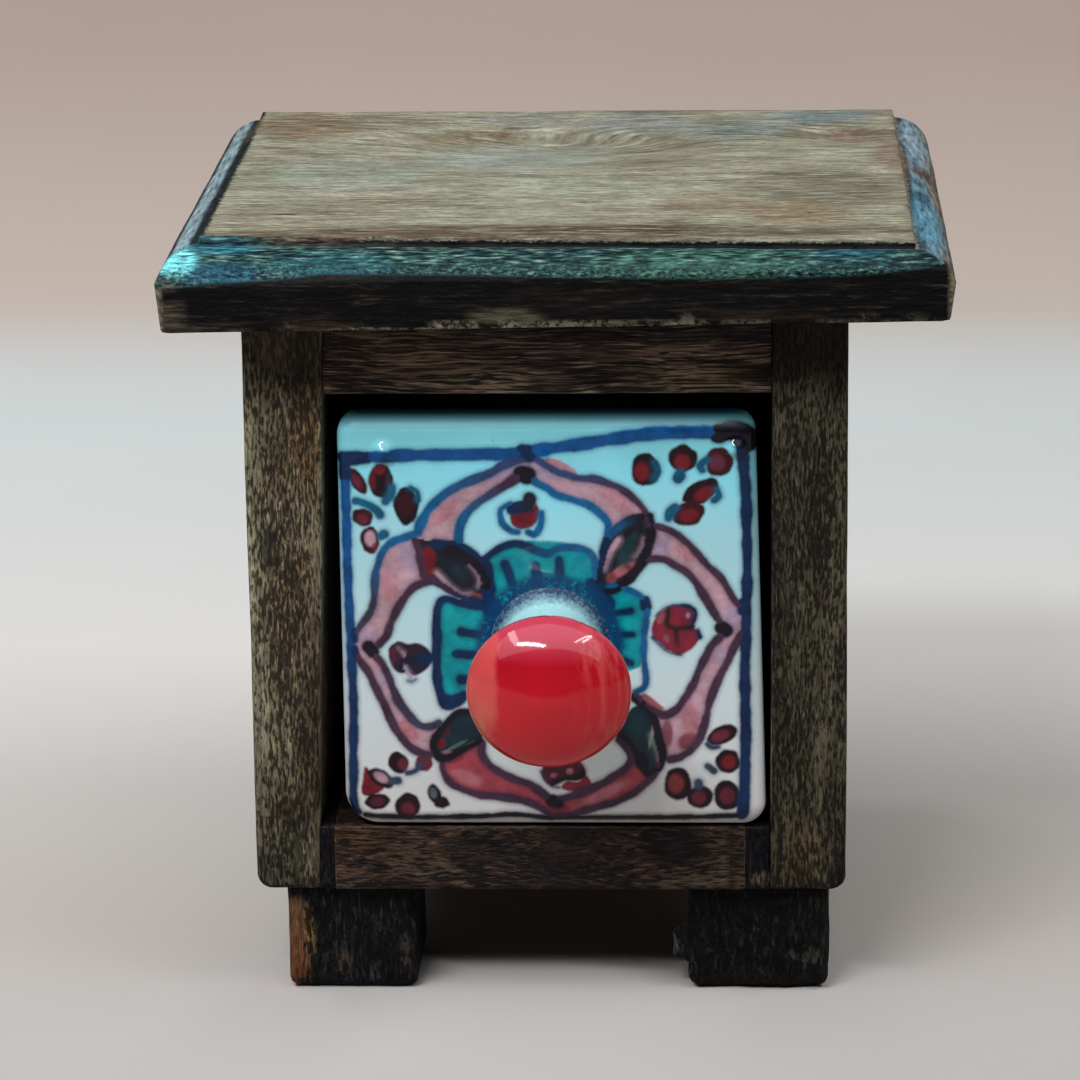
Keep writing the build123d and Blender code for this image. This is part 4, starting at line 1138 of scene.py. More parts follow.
# soft touches of another colour inside the fills: tone, strength, x, z, half width,
# half height, tilt
tints = [
    ("lavender", 0.9, -6.9, 80.6, 3.5, 1.2, 25), ("lavender", 0.8, -1.9, 80.3, 3, 1.2, -20),
    ("blush", 0.8, -16.4, 74.2, 3, 1.2, 45), ("blush", 0.7, 8.1, 76, 3, 1.2, -45),
    ("salmon", 0.5, 0.1, 81.4, 2, 0.7, -20), ("lavender", 0.7, -21.7, 67.5, 1.5, 2.5, 20),
    ("blush", 0.7, -24.5, 63, 1.3, 3, 0), ("lavender", 0.7, -28.3, 55.5, 1.3, 1.3, 0),
    ("lavender", 0.6, -25.9, 49, 1.2, 3, -25), ("rust", 0.7, -22.4, 41.2, 2, 1.2, -40),
    ("lavender", 0.8, 14.7, 69.3, 1.2, 1.8, 0), ("blush", 0.7, 18.1, 68.3, 2, 1.1, -45),
    ("lavender", 0.8, 24.5, 58, 1.4, 2, 0), ("lavender", 0.6, 23.3, 52.4, 1, 2.4, 25),
    ("blood", 0.85, 18.4, 39.6, 1.8, 1.4, 30), ("blood", 0.8, 15.3, 40.8, 0.9, 2.2, 0),
    ("rust", 0.6, 18.7, 43, 1.4, 2.6, 0), ("blush", 0.5, -13.9, 34, 2.6, 1.1, -20),
    ("blood", 0.6, -15.9, 37, 1.6, 0.9, 0), ("blush", 0.6, 6.1, 31.6, 4, 0.9, 28),
    ("blood", 0.7, -0.7, 29.2, 2, 0.8, 0), ("blood", 1, -19.2, 66.6, 1.4, 2.2, 25),
    ("night", 0.9, -15.3, 65.6, 4.2, 1.9, -38), ("moss", 0.7, -15.5, 66, 2.2, 0.9, -38),
    ("night", 0.9, 9.9, 69.2, 4, 1.6, 60), ("moss", 0.7, 10, 69.4, 2.2, 0.8, 60),
    ("salmon", 0.95, 9.1, 65.6, 2.2, 0.8, 35), ("maroon", 0.9, -17.1, 41.2, 1, 1, 0),
    ("blood", 1, -17.7, 39.3, 0.9, 0.9, 0), ("sage", 0.9, -15.3, 38.9, 1.8, 0.3, 28),
    ("shell", 0.8, -16.7, 37.9, 0.8, 0.3, 0), ("moss", 0.6, 10.7, 41.5, 1.2, 2.4, -20),
    ("shell", 0.9, 13.2, 41, 0.3, 2.6, -12), ("night", 0.9, 11.5, 36.6, 1.2, 1.4, 0),
    ("deepTeal", 0.6, -6.9, 66, 2.5, 2, 0), ("deepTeal", 0.6, 2.9, 65.4, 1.6, 2.4, 0),
    ("lightTeal", 0.5, -15.4, 58, 1.6, 1.6, 0), ("lightTeal", 0.5, 10.1, 57.4, 1.2, 1.4, 0),
    ("deepTeal", 0.6, -14.9, 50.5, 2, 3, 0), ("lightTeal", 0.5, -1.5, 68.6, 3, 0.6, 0),
    ("shell", 0.7, -3.9, 75.2, 0.5, 0.5, 0), ("berryRed", 0.95, -25.7, 80.5, 0.98, 0.84, 0),
    ("berryRed", 0.8, -26.7, 78.7, 0.56, 1.4, 0), ("plum", 0.7, -24.4, 79, 0.42, 1.26, 0),
    ("rose", 0.6, -26.9, 69.6, 0.56, 0.7, 0), ("berryRed", 0.8, -26.5, 69, 0.56, 0.7, 0),
    ("coral", 0.95, -11.7, 61.6, 1.12, 0.45, -15), ("blood", 0.9, -18.6, 67.6, 0.98, 1.68, 20),
    ("coral", 0.95, 7.4, 64.3, 0.84, 0.84, 30), ("blood", 0.8, 10.1, 65.7, 0.98, 0.42, -35),
    ("slate", 0.8, 9.7, 68.2, 1.26, 1.96, -15), ("blood", 0.5, 10.5, 38.7, 0.56, 0.84, 0),
    ("char", 0.95, -15.2, 65.5, 3.3, 1.7, -38), ("slate", 0.7, -14.9, 65.4, 1.7, 0.8, -38),
    ("moss", 0.6, 9.4, 67.6, 1.2, 2.2, -18), ("rust", 0.6, 14.5, 58.3, 0.55, 1, -25),
    ("cherry", 0.5, 17.4, 58.4, 0.8, 0.7, 0), ("dusk", 0.7, 15.3, 55.2, 0.35, 0.7, 25),
    ("lavender", 0.8, 18.4, 58.7, 0.3, 0.5, 0), ("blush", 0.8, 1.1, 35, 0.55, 0.5, 0),
    ("rust", 0.7, -1.2, 34.4, 0.6, 0.4, 15),
]

# berries in the corners: x, z, half width, half height, tilt, tone, glow inside and its
# shift, then the tail's width and line
berries = [
    (-28.8, 78.8, 0.99, 2.27, 28, "dropRed", "berry", -0.14, 0),
    (-25.5, 78.9, 1.84, 2.59, 0, "drop", "drop", 0, 0, 1.2, -23.9, 77.8, -24.1, 76.7, -24.9, 75.8),
    (-21.9, 75.1, 1.84, 2.9, 0, "drop", "dropRed", -0.14, 0, 0.8, -21.2, 77.8, -20.3, 77.2,
     -20.2, 76),
    (-28.2, 73.5, 1.6, 1.41, -20, "dropRed", "berry", 0, -0.28, 1.3, -29.2, 75.9, -27.7, 75.4,
     -26.5, 74.7, -25.7, 73.8),
    (-27.2, 70, 1.44, 2.04, 0, "dropRed", "rose", 0, 0.28, 1.3, -25.6, 70.6, -25.2, 70.9),
    (12.4, 80.4, 1.99, 2.51, 0, "drop", "berryRed", -0.56, -0.28, 1, 13.8, 81.4, 14.2, 80.2,
     13.6, 79.1),
    (17.8, 82.1, 2.04, 2.04, 0, "drop", "berryRed", -0.14, -0.56, 1.6, 17.3, 79.5, 17.1, 79.2),
    (22.9, 81.6, 2.07, 2.23, 0, "dropRed", "berryPale", -0.28, -0.14, 1.1, 21.1, 81.9, 20.2, 81,
     20.5, 80.4),
    (20.3, 77.1, 2.79, 1.65, 33, "drop", "berryRed", 0.42, -0.28, 1.1, 22.6, 77.4, 22.9, 76.5,
     22.2, 75.9),
    (18.6, 73.9, 2.39, 1.72, 20, "dropRed", "berryRed", 0, -0.28, 1.2, 16.6, 74.9, 15.9, 74.2,
     15.7, 73.3),
    (-23.8, 36.2, 1.53, 1.65, 20, "drop", "berry", 0.7, -0.14, 0.9, -22.5, 34.7, -21.4, 35,
     -20.8, 35.8),
    (-20.1, 36.2, 1.37, 1.25, 10, "berry", "berryPale", 0.28, 0.28),
    (-26.4, 33.9, 2.15, 1.22, -35, "drop", "rose", 0, 0.14, 1.2, -24.7, 33.5, -24, 33.5),
    (-27, 30.3, 1.84, 1.25, 4, "drop", "berryDark", 0, 0),
    (-22.6, 29.6, 1.84, 2.04, 0, "drop", "berry", 0, -0.56),
    (-18.7, 31.5, 0.96, 1.49, 10, "drop", "berrySlate", -0.14, 0.14),
    (-17.7, 30.2, 1.28, 0.94, -15, "drop", "drop", 0, 0),
    (23.3, 40.6, 2.47, 1.44, 25, "drop", "berry", -0.28, -0.14, 0.7, 21.1, 39.2, 21.8, 38.7,
     22.7, 38.7),
    (24.1, 36.6, 1.8, 1.92, 0, "drop", "berryRed", 0.14, -0.14, 1, 22.1, 35.1, 21.4, 35.7,
     21.2, 35.8),
    (16.8, 33.1, 2.07, 2.59, 0, "drop", "coral", -0.28, 0),
    (20, 31.1, 1.87, 1.81, 0, "drop", "berry", -0.14, -0.14, 1.4, 19.8, 32.9, 19.8, 33.2),
    (24, 31.4, 1.92, 2.28, 8, "drop", "berry", 0, -0.14),
]


brush = {
    "step": 0.33,            # a drawn line has a point this often
    "far": 3.0,              # the distance from paint that a spot without any has
    "reach": 2.0,            # paint is worked out for the spots this close to it
    "pressLength": 2.5,      # how often a stroke swells and thins, and by what share
    "pressShare": 0.3,
    "pressSteps": 60,
    "dabWobble": 0.16,       # how uneven a berry's outline is
    "dabSteps": 29,
    "glow": (0.95, 0.6),     # a berry's glow: strength, and size as a share of the berry
    "highTails": 60,         # above this the berries' tails are blue
}


def drawnCurve(numbers, closed=False):
    # a brush line through points (Catmull-Rom), with new points at even steps
    spots = np.array(numbers, float).reshape(-1, 2)
    if closed:
        spots = np.vstack([spots[-1:], spots, spots[:2]])
    else:
        spots = np.vstack([2 * spots[0] - spots[1], spots, 2 * spots[-1] - spots[-2]])
    line = []
    for a, b, c, d in zip(spots, spots[1:], spots[2:], spots[3:]):
        count = max(int(np.hypot(*(c - b)) / brush["step"]), 2)
        t = np.linspace(0, 1, count, endpoint=False)[:, None]
        line.append(0.5 * (2 * b + (c - a) * t + (2 * a - 5 * b + 4 * c - d) * t ** 2
                           + (3 * b - a - 3 * c + d) * t ** 3))
    return np.vstack(line + [spots[-2:-1]])


def gapToLine(spots, line):
    # distance from each spot to a line, and how far along the line that is, from 0 to 1
    step = line[1:] - line[:-1]
    lengths = np.maximum((step ** 2).sum(1), 1e-9)
    offset = spots[:, None, :] - line[:-1]
    share = np.clip((offset * step).sum(2) / lengths, 0, 1)
    gap = np.hypot(*np.moveaxis(offset - share[..., None] * step, 2, 0))
    nearest = gap.argmin(1)
    rows = np.arange(len(spots))
    return gap[rows, nearest], (nearest + share[rows, nearest]) / len(step)


def isInside(spots, outline):
    # even-odd test of each spot against a closed outline
    x, z = spots[:, 0][:, None], spots[:, 1][:, None]
    x0, z0 = outline[:-1].T
    x1, z1 = outline[1:].T
    rise = np.where(z1 == z0, 1e-9, z1 - z0)
    crossed = ((z0 > z) != (z1 > z)) & (x < (x1 - x0) * (z - z0) / rise + x0)
    return crossed.sum(1) % 2 == 1


def turned(x, z, tilt):
    lean = math.radians(tilt)
    return x * math.cos(lean) - z * math.sin(lean), x * math.sin(lean) + z * math.cos(lean)


def pressedOval(x, z, wide, tall, tilt):
    # put down with one press of the brush, so not quite even
    turn = np.linspace(0, 2 * math.pi, brush["dabSteps"])
    wobble = [1 + brush["dabWobble"] * noise.noise(
        Vector((1.3 * math.cos(t) + x, 1.3 * math.sin(t) + z, 0))) for t in turn]
    across, up = turned(wide * np.cos(turn) * wobble, tall * np.sin(turn) * wobble, tilt)
    return np.stack([x + across, z + up], 1)


def nearOnes(spots, line):
    low, high = line.min(0) - brush["reach"], line.max(0) + brush["reach"]
    return np.nonzero(((spots > low) & (spots < high)).all(1))[0]


def paintColour(tone):
    return np.array(linear(paints[tone])[:3])


class PaintLayer:
    # for each spot: how far it is from the nearest edge (below nothing inside the paint) and
    # the colour of the paint there
    def __init__(self, spots, tone):
        self.spots = spots
        self.edge = np.full(len(spots), brush["far"])
        self.colour = np.tile(paintColour(tone), (len(spots), 1))

    def fill(self, outline, tone):
        rows = nearOnes(self.spots, outline)
        gap = gapToLine(self.spots[rows], outline)[0]
        gap = np.where(isInside(self.spots[rows], outline), -gap, gap)
        newer = (gap < 0) | (gap < self.edge[rows])
        self.colour[rows[newer]] = paintColour(tone)
        self.edge[rows] = np.minimum(self.edge[rows], gap)

    def stroke(self, line, tones, width, seed):
        rows = nearOnes(self.spots, line)
        gap, along = gapToLine(self.spots[rows], line)
        length = len(line) * brush["step"]
        press = [noise.noise(Vector((share, seed, 0))) for share in
                 np.linspace(0, length / brush["pressLength"], brush["pressSteps"])]
        press = np.interp(along, np.linspace(0, 1, brush["pressSteps"]), press)
        edge = gap - width / 2 * (1 + brush["pressShare"] * press)
        newer = edge < self.edge[rows]
        first, last = paintColour(tones[0]), paintColour(tones[-1])
        blend = first + (last - first) * smoothShare(along, 0.15, 0.85)[:, None]
        self.colour[rows[newer]] = blend[newer]
        self.edge[rows] = np.minimum(self.edge[rows], edge)


def paintFront(spots):
    below, above = PaintLayer(spots, "rose"), PaintLayer(spots, "navy")
    for tone, *outline in fills:
        below.fill(drawnCurve(outline, closed=True), tone)
    glows = []
    strength, size = brush["glow"]
    for x, z, wide, tall, tilt, tone, glowTone, dx, dz, *tail in berries:
        below.fill(pressedOval(x, z, wide, tall, tilt), tone)
        glows.append((glowTone, strength, x + dx, z + dz, wide * size, tall * size, tilt))
    for tone, strength, x, z, wide, tall, tilt in glows + tints:
        across, up = turned(spots[:, 0] - x, spots[:, 1] - z, -tilt)
        gap = np.hypot(across / wide, up / tall)
        share = (strength * (1 - smoothShare(gap, 0.65, 1.2)))[:, None]
        below.colour += (paintColour(tone) - below.colour) * share

    lines = [line for group in strokes.values() for line in group]
    for seed, (tones, width, *line) in enumerate(lines):
        above.stroke(drawnCurve(line), tones.split(), width, seed * 3.7)
    for seed, tail in enumerate(berry[9:] for berry in berries):
        if tail:
            tone = "tail" if tail[2] > brush["highTails"] else "lowTail"
            above.stroke(drawnCurve(tail[1:]), [tone], tail[0], seed * 2.9)
    return {"fillEdge": below.edge, "fillColour": below.colour,
            "strokeEdge": above.edge, "strokeColour": above.colour}


glaze = {
    # the glaze's white by height carries a painted cast of light: warm low down, cyan higher up,
    # darker near the top
    "white": [(0.0, "#e6deda"), (0.35, "#d8e6e6"), (0.7, "#b2e8f0"), (0.87, "#98f0fd"),
              (0.93, "#8ee2ea"), (1.0, "#84d6e0")],
    # painted shadow of the rail along the drawer front's top edge
    "topShadowTone": "#12303a",
    "speckTone": "#4a6a74",
    "ringTone": "#083c68",
    "neckRing": "#04305a",
    "pullRed": "#bc0e22",
    "pullDark": "#9a121e",
    # painted reflections on the red: the floor's below, the overhead light's above, paler ones at
    # its sides
    "pullFloorReflection": "#e8242f",
    "pullTopReflection": "#c8485e",
    "pullSideReflection": "#e0605a",
    "pullPaleReflection": "#d8925e",
    "pullEdge": "#520c14",
    "neck": "#b8ecec",
    "neckRim": "#dcc8c6",
    # size, detail and roughness: clouds, specks, bristles, the brush's wander, how thick the
    # colour lies, the dabs round the pull and the ripple of the gloss
    "frontPatterns": [(9.09, 3, 0.5), (1.111, 2, 0.5), (0.4545, 2, 0.5), (1.4286, 3, 0.5),
                      (2.381, 4, 0.65), (0.7692, 3, 0.7), (6.25, 2, 0.5)],
    # clouds, the wavy edge of the red, speckles and ripple
    "pullPatterns": [(5.882, 3, 0.5), (2.6316, 3, 0.5), (0.5263, 3, 0.7), (4.1667, 2, 0.5)],
}

drawerShape = {
    "left": -31.84, "right": 29.783, "lean": 1.7, "low": 26.35, "high": 88.35,
    "front": -32.15, "back": 52.25, "plate": 5.5, "corner": 4.0, "roll": 2.6,
    "rim": 78.35, "wall": 4.4, "floor": 4.6, "innerCorner": 3.0, "innerFoot": 2.4,
    # the front's corners: low left, low right, high left, high right
    "corners": (5.0, 3.6, 3.2, 3.0),
    "tuck": 0.25,        # the tray's walls stand in this far behind the front plate
    "bury": 0.6,         # and their front ends stand this far in the plate
    "rimRound": 1.5,
    "backRound": 1.2,
    "waver": (0.1, 19),          # the plate isn't flat: depth and length of its hollows
    "glazeWaver": (0.12, 13),    # nor are the tray's walls
    "frontCuts": 272,
    "trayCuts": 4,
    # the plate behind its rolled edge: distance from the front, and how far it draws in
    "backSteps": [(3.4, 0), (4.6, 0), (5.2, 0.125), (5.5, 0.45)],
    "paintedDepth": 2.4,
    # thick spots in the glaze: x, z, reach and rise
    "swellings": [(-25.0, 83.0, 2.4, 1.25), (25.2, 83.5, 2.0, 1.0), (-1.9, 82.5, 0.9, 0.4)],
    "pullRing": (9.9, 11.6),     # blue round the pull's foot: full and gone
}

pullShape = {
    "x": -1.528, "z": 54.25,
    # from the drawer's face outwards: distance, radius
    "profile": [(-0.6, 9.4), (0.1, 8.5), (0.8, 7.85), (1.8, 7.2), (3.3, 6.75), (6.2, 6.6),
                (9.5, 6.7), (12.5, 7.6), (15.2, 9.1), (17.2, 10.5), (18.3, 11.25),
                (19.0, 11.58), (19.6, 11.62), (20.3, 11.45), (21.2, 10.95), (22.3, 10.0),
                (23.4, 8.6), (24.3, 6.95), (25.1, 4.9), (25.7, 2.7), (25.95, 1.2),
                (26.0, 0.4), (26.0, 0.0)],
    "turns": 128,
    "merge": 0.004,
    "swell": (0.008, 9),    # how uneven the turning is: share and length
    "redStart": 18.9,
    "oval": 0.955,          # the disc isn't quite round, nor quite on its neck
    "shift": (0.55, -0.8),
    "flare": (8.0, 19.0),   # the distances over which the neck turns to the disc
}


def makePaintedGlaze():
    # majolica: colours brushed under a thick clear gloss, with soft ragged edges
    material, add = newMaterial("paintedWhiteGlaze")
    low, high = drawerShape["low"], drawerShape["high"]
    place = add("TexCoord", out="Object")
    z = add("SeparateXYZ", place, out=2)
    cloud, speck, bristle, wander, load, dabs, ripple = (
        add("TexNoise", place, 1 / (size * mm), detail, rough)
        for size, detail, rough in glaze["frontPatterns"])
    # painted light over the white: a warm cast low down, a cyan one higher up, darker near the top
    height = add("MapRange", z, low * mm, high * mm)
    cloudShift = add("MapRange", cloud, 0.3, 0.7, -0.03, 0.03)
    tone = add("ValToRGB", add("Math", height, cloudShift, operation="ADD"),
               stops=glaze["white"])
    # painted shadow of the rail over the top two millimetres
    tone = add("Mix", add("MapRange", z, (high - 2) * mm, high * mm), tone, glaze["topShadowTone"],
               **over)
    tone = add("Mix", add("MapRange", speck, 0.72, 0.78, 0.0, 0.35), tone,
               glaze["speckTone"], **over)

    ragged = add("Math", bristle, 0.3, wander, operation="MULTIPLY_ADD")
    ragged = add("MapRange", ragged, 0.3, 1.0, -0.12, 0.12)
    for layer, depths in (("fill", (0.72, 1.26)), ("stroke", (0.7, 1.45))):
        edge = add("Attribute", out="Fac", attribute_name=layer + "Edge")
        edge = add("Math", edge, ragged, operation="ADD")
        colour = add("Attribute", out="Color", attribute_name=layer + "Colour")
        if layer == "stroke":
            bleed = add("MapRange", edge, 0.7, 0.0, 0.0, 0.35)
            tone = add("Mix", bleed, tone, colour, **over)
        inside = add("MapRange", edge, 0.2, -0.2)
        depth = add("MapRange", load, 0.32, 0.68, *depths)
        tone = add("Mix", inside, tone, add("Mix", 1.0, colour, depth, **times), **over)

    # blue dabbed round the pull's foot, sparse enough for the white to show
    ring = add("Attribute", out="Fac", attribute_name="pullRing")
    dabbed = add("Math", add("MapRange", dabs, 0.22, 0.5), ring, operation="MULTIPLY")
    tone = add("Mix", dabbed, tone, glaze["ringTone"], **over)
    # the glaze ran thin and dull over the top edge
    rough = add("MapRange", z, (high - 3.0) * mm, (high - 1.8) * mm, 0.07, 0.4)
    finishSurface(add, tone, ripple, 0.12, 0.35, rough, 0.3, 1.52)
    return material


def makePullGlaze():
    # red glaze brushed over white: streaky, thin at the rim, and bare white behind it
    material, add = newMaterial("redBrushedGlaze")
    centred = add("Mapping", add("TexCoord", out="Object"), {"Location": (
        -pullShape["x"] * mm, -drawerShape["front"] * mm, -pullShape["z"] * mm)})
    x, y, z = (add("SeparateXYZ", centred, out=axis) for axis in range(3))
    outward = add("Math", y, -1.0, operation="MULTIPLY")
    streaks = grainPattern(add, centred, "Z", 1.6, 14, 4.0, 0.6)
    cloud, wavy, speckle, ripple = (
        add("TexNoise", centred, 1 / (size * mm), detail, rough)
        for size, detail, rough in glaze["pullPatterns"])
    wavy = add("MapRange", wavy, 0.3, 0.7, -0.6 * mm, 0.6 * mm)
    reach = add("Math", outward, wavy, operation="ADD")
    start = pullShape["redStart"] * mm

    # the red disc: painted reflections lighten it below, above and at its left, in brushed streaks
    # at its lower left and right; dark at its rim
    swayed = add("Math", cloud, 4 * mm, x, operation="MULTIPLY_ADD")
    leftReflection = add("MapRange", swayed, -4.2 * mm, -5.6 * mm, 0.0, 0.6,
                   interpolation_type="SMOOTHSTEP")
    brushed = add("MapRange", streaks, 0.42, 0.6, 0.0, 0.9)
    low = add("MapRange", z, 0.0, -6 * mm)
    lowLeftReflection = add("Math", low, leftReflection, operation="MULTIPLY")
    lowLeftReflection = add("Math", lowLeftReflection, brushed, operation="MULTIPLY")
    right = add("MapRange", x, 4 * mm, 6.5 * mm)
    right = add("Math", right, brushed, operation="MULTIPLY")
    right = add("Math", right, 0.45, operation="MULTIPLY")
    pastRim = add("MapRange", reach, start + 0.3 * mm, start + 0.8 * mm, 0.75, 0.0)
    red = add("Mix", cloud, glaze["pullRed"], glaze["pullDark"], **over)
    for mask, name in (
            (add("MapRange", z, 5 * mm, -8 * mm), "pullFloorReflection"),
            (add("MapRange", z, 4.5 * mm, 8.5 * mm, 0.0, 0.7), "pullTopReflection"),
            (leftReflection, "pullSideReflection"), (lowLeftReflection, "pullPaleReflection"), (right, "pullSideReflection"),
            (pastRim, "pullEdge")):
        red = add("Mix", mask, red, glaze[name], **over)

    # the neck: speckled blue at its foot and bare behind the rim
    footShare = add("MapRange", outward, 3.2 * mm, 0.4 * mm, 0.8, 0.24)
    speckle = add("Math", speckle, 0.6, 0.2, operation="MULTIPLY_ADD")
    speckle = add("Math", speckle, footShare, operation="SUBTRACT")
    neck = add("Mix", add("MapRange", speckle, -0.27, 0.27), glaze["neck"],
               glaze["neckRing"], **over)
    behindRim = add("MapRange", reach, start - 1.4 * mm, start - 0.8 * mm)
    neck = add("Mix", behindRim, neck, glaze["neckRim"], **over)
    onRed = add("MapRange", reach, start - 0.2 * mm, start + 0.3 * mm)
    tone = add("Mix", onRed, neck, red, **over)
    rough = add("MapRange", outward, 3.5 * mm, 2 * mm, 0.08, 0.5)
    finishSurface(add, tone, ripple, 0.2, 0.3, rough, 0.45, 1.52)
    return material


def leaned(x, z):
    # the drawer's right side leans in towards its top
    shape = drawerShape
    wide = shape["right"] - shape["left"]
    lean = shape["lean"] * (z - shape["low"]) / (shape["high"] - shape["low"])
    return shape["left"] + (x - shape["left"]) * (wide - lean) / wide


def buildFrontPlate(material):
    # a grid is wrapped over the plate: its rings become the rounded corners and rolled edge
    shape = drawerShape
    front, roll = shape["front"], shape["roll"]
    middleX, halfX = (shape["left"] + shape["right"]) / 2, (shape["right"] - shape["left"]) / 2
    middleZ, halfZ = (shape["low"] + shape["high"]) / 2, (shape["high"] - shape["low"]) / 2
    bm = bmesh.new()
    bmesh.ops.create_grid(bm, x_segments=shape["frontCuts"], y_segments=shape["frontCuts"],
                          size=1)
    flat = (halfX - roll) / (halfX - roll + roll * math.pi / 2)
    for vert in bm.verts:
        u, v = vert.co.x, vert.co.y
        ring = max(abs(u), abs(v), 1e-9)
        turn = max(ring - flat, 0) / (1 - flat) * math.pi / 2
        inset = roll * (1 - math.sin(turn))
        if ring < flat:
            inset = roll + (1 - ring / flat) * (halfX - roll)
        wide = halfX - inset
        tall = max(halfZ - inset, 0)
        x, z = u / ring * wide, v / ring * tall
        corner = max(shape["corners"][(x > 0) + 2 * (z > 0)] - inset, 0)
        overX, overZ = abs(x) - (wide - corner), abs(z) - (tall - corner)
        if corner > 0 and overX > 0 and overZ > 0:
            reach = corner / math.hypot(overX, overZ)
            x = math.copysign(wide - corner + overX * reach, x)
            z = math.copysign(tall - corner + overZ * reach, z)
        z += middleZ
        vert.co = Vector((leaned(middleX + x, z), front + roll * (1 - math.cos(turn)), z)) * mm
    for depth, inset in shape["backSteps"]:
        rim = [edge for edge in bm.edges if edge.is_boundary]
        grown = bmesh.ops.extrude_edge_only(bm, edges=rim)["geom"]
        for vert in (part for part in grown if isinstance(part, bmesh.types.BMVert)):
            x, z = vert.co.x / mm, vert.co.z / mm
            vert.co = Vector((x - math.copysign(inset, x - middleX), front + depth,
                              z - math.copysign(inset, z - middleZ))) * mm
    closeHoles(bm)
    bmesh.ops.recalc_face_normals(bm, faces=bm.faces)
    depth, length = shape["waver"]
    for vert in bm.verts:
        spot = vert.co / mm
        move = depth * noise.noise(spot / length)
        if spot.y < front + roll:
            for x, z, reach, rise in shape["swellings"]:
                gap = math.hypot(spot.x - x, spot.z - z) / reach
                move -= rise * (1 - smoothShare(gap, 0, 1))
        vert.co.y += move * mm

    places = spotsOf(bm)
    onFront = places[:, 1] < front + shape["paintedDepth"]
    plate = dressNode(bm, "drawerFront", material, "drawer",
                      "drawer_box")
    for name, values in paintFront(places[:, [0, 2]]).items():
        if name.endswith("Edge"):
            values = np.where(onFront, values, brush["far"])
        putAttribute(plate.data, name, values)
    gap = np.hypot(places[:, 0] - pullShape["x"], places[:, 2] - pullShape["z"])
    ring = 1 - smoothShare(gap, *shape["pullRing"])
    putAttribute(plate.data, "pullRing", ring * onFront)
    print("drawer front painted:", sum(map(len, strokes.values())), "strokes,", len(fills),
          "fills")


def roundEdges(bm, edges, radius, segments, **limits):
    bmesh.ops.bevel(bm, geom=edges, offset=radius * mm, segments=segments, profile=0.5,
                    affect="EDGES", material=-1, offset_type="OFFSET", **limits)


def buildTray(material):
    # walls and floor behind the plate: a block, hollowed, with every edge rounded by glaze
    shape = drawerShape
    start = shape["front"] + shape["plate"] - shape["bury"]
    bm = bmesh.new()
    bmesh.ops.create_cube(bm, size=2)
    for vert in bm.verts:
        z = shape["rim"] if vert.co.z > 0 else shape["low"]
        y = shape["back"] if vert.co.y > 0 else start
        x = shape["left"] if vert.co.x < 0 else shape["right"]
        side = math.copysign(shape["tuck"], vert.co.x)
        vert.co = Vector((leaned(x, z) - side, y, z)) * mm
    long = [edge for edge in bm.edges
            if abs(edge.verts[0].co.y - edge.verts[1].co.y) > 1 * mm
            and max(vert.co.z for vert in edge.verts) < (shape["low"] + 1) * mm]
    roundEdges(bm, long, shape["corner"], 6)

    # the hollow: the top is inset for the walls and pushed down to the floor
    bm.faces.ensure_lookup_table()
    top = max(bm.faces, key=lambda face: face.calc_center_median().z)
    bmesh.ops.inset_region(bm, faces=[top], thickness=shape["wall"] * mm)
    for vert in top.verts:
        if vert.co.y < 0:
            vert.co.y = (start + shape["bury"]) * mm
    down = bmesh.ops.extrude_discrete_faces(bm, faces=[top])["faces"][0]
    floorZ = shape["low"] + shape["floor"]
    for vert in down.verts:
        vert.co.z = floorZ * mm
        if vert.co.x > 0:
            vert.co.x -= (leaned(shape["right"], shape["rim"])
                          - leaned(shape["right"], floorZ)) * mm
    inner = set(down.verts)
    corners = [edge for edge in bm.edges
               if len(edge.link_faces) == 2 and len(inner & set(edge.verts)) == 1
               and abs(edge.verts[0].co.z - edge.verts[1].co.z) > 10 * mm]
    roundEdges(bm, corners, shape["innerCorner"], 5)
    floorFace = min((face for face in bm.faces if face.normal.z > 0.9
                     and face.calc_center_median().z < (floorZ + 9) * mm),
                    key=lambda face: face.calc_center_median().z)
    roundEdges(bm, floorFace.edges[:], shape["innerFoot"], 4)
    rim = [edge for edge in bm.edges
           if min(vert.co.z for vert in edge.verts) > (shape["rim"] - 0.1) * mm]
    roundEdges(bm, rim, shape["rimRound"], 4, clamp_overlap=True)
    backEdges = [edge for edge in bm.edges
                 if min(vert.co.y for vert in edge.verts) > (shape["back"] - 0.1) * mm
                 and edge.calc_face_angle(0) > 0.6]
    roundEdges(bm, backEdges, shape["backRound"], 3, clamp_overlap=True)

    # cut finely enough for the unevenness of the glaze
    step = shape["trayCuts"]
    for axis, low, high in ((1, start, shape["back"]), (2, shape["low"], shape["rim"]),
                            (0, shape["left"], shape["right"])):
        sliceAcross(bm, axis, np.arange(low + step, high - step + 1, step) * mm)
    bm.normal_update()
    depth, length = shape["glazeWaver"]
    for vert in bm.verts:
        vert.co -= vert.normal * depth * (1 + noise.noise(vert.co / mm / length)) * mm
    tray = dressNode(bm, "drawerTray", material, "drawer",
                     "drawer_box")
    for name in ("fillEdge", "strokeEdge"):
        putAttribute(tray.data, name, np.full(len(tray.data.vertices), brush["far"]))
    print("drawer tray built")


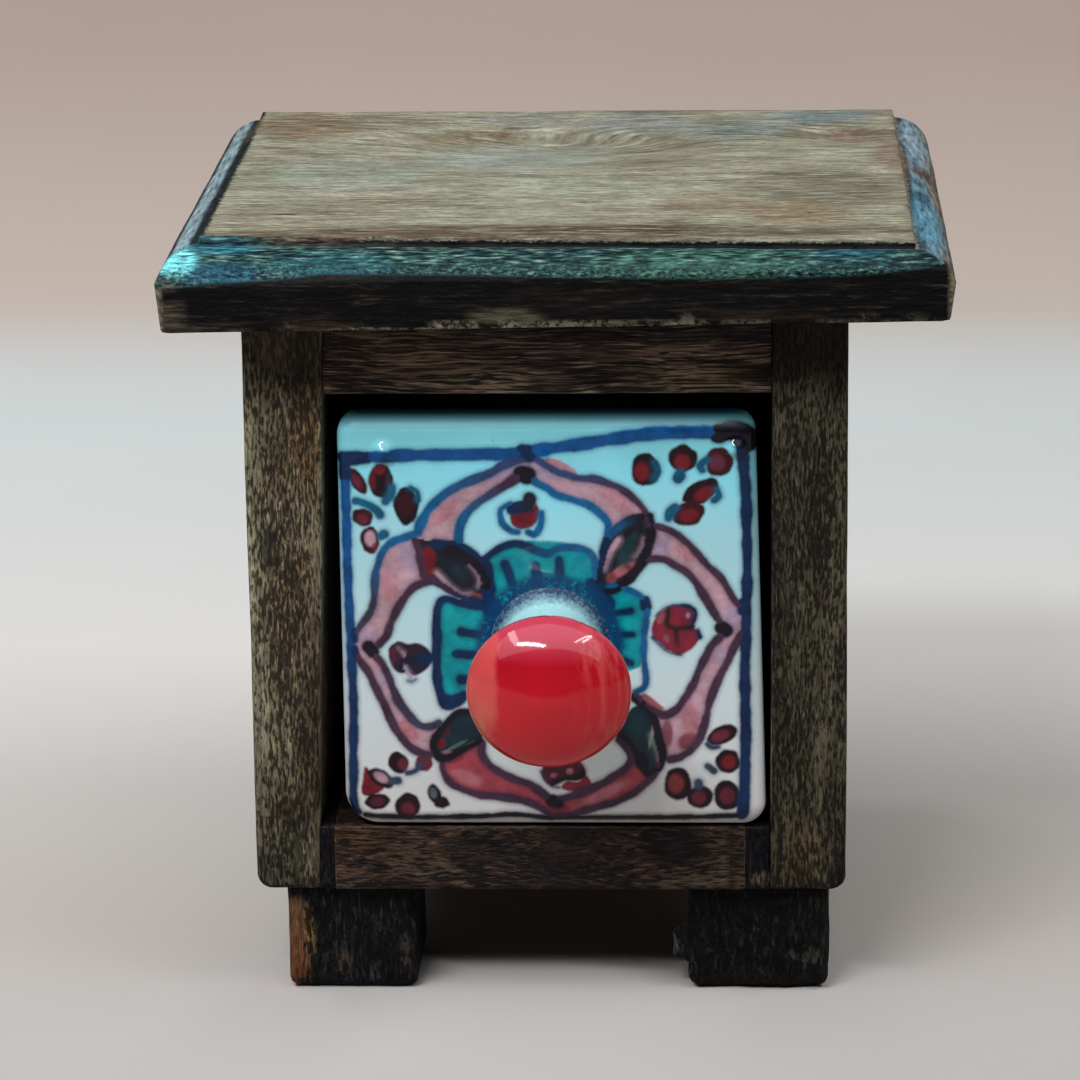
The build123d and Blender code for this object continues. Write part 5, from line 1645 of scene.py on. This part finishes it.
def buildPull():
    # turned by hand: a neck, a flared back, a rounded rim and a low dome
    shape = pullShape
    bm = bmesh.new()
    path = [bm.verts.new((max(radius, 0) * mm, -away * mm, 0))
            for away, radius in drawnCurve(shape["profile"])]
    edges = [bm.edges.new(pair) for pair in zip(path, path[1:])]
    bmesh.ops.spin(bm, geom=path + edges, cent=(0, 0, 0), axis=(0, 1, 0), dvec=(0, 0, 0),
                   angle=2 * math.pi, steps=shape["turns"], use_merge=True)
    bmesh.ops.remove_doubles(bm, verts=bm.verts, dist=shape["merge"] * mm)
    closeHoles(bm)
    bmesh.ops.recalc_face_normals(bm, faces=bm.faces)
    place = Vector((shape["x"], drawerShape["front"], shape["z"])) * mm
    shiftX, shiftZ = shape["shift"]
    uneven, length = shape["swell"]
    for vert in bm.verts:
        spot = vert.co / mm
        swell = 1 + uneven * noise.noise(spot / length)
        share = smoothShare(-spot.y, *shape["flare"])
        oval = 1 - (1 - shape["oval"]) * share
        vert.co = Vector((spot.x * swell + shiftX * share, spot.y,
                          spot.z * swell * oval + shiftZ * share)) * mm + place
    dressNode(bm, "drawerPull", makePullGlaze(), "drawer", "drawer_pull")
    print("pull turned")


# Nails: plain wire nails gone dull, their heads flush in the planks
nailLook = {
    "tones": [(0.3, "#3a2c22"), (0.5, "#5f5952"), (0.7, "#84807a")],
    "spotSize": 1.4286,
    "nodes": ("cap_nails", "rail_nails", "floor_nails", "foot_nails", "back_pins"),
}


def dressNails():
    material, add = newMaterial("dulledSteelWire")
    place = add("TexCoord", out="Object")
    spot = add("TexNoise", place, 1 / (nailLook["spotSize"] * mm), 4.0)
    tone = add("ValToRGB", spot, stops=nailLook["tones"])
    rough = add("MapRange", spot, 0.3, 0.7, 0.7, 0.4)
    bump = add("Bump", {"Strength": 0.5, "Distance": 0.05 * mm, "Height": spot})
    add("OutputMaterial", add("BsdfPrincipled", {
        "Base Color": tone, "Metallic": 1.0, "Roughness": rough, "Normal": bump}))
    for node in nailLook["nodes"]:
        for slot in nodes[node].material_slots:
            slot.material = material
    print("nails dulled")


buildStudio()
buildCamera()
buildCase()
buildCap()
glazed = makePaintedGlaze()
buildFrontPlate(glazed)
buildTray(glazed)
buildPull()
dressNails()
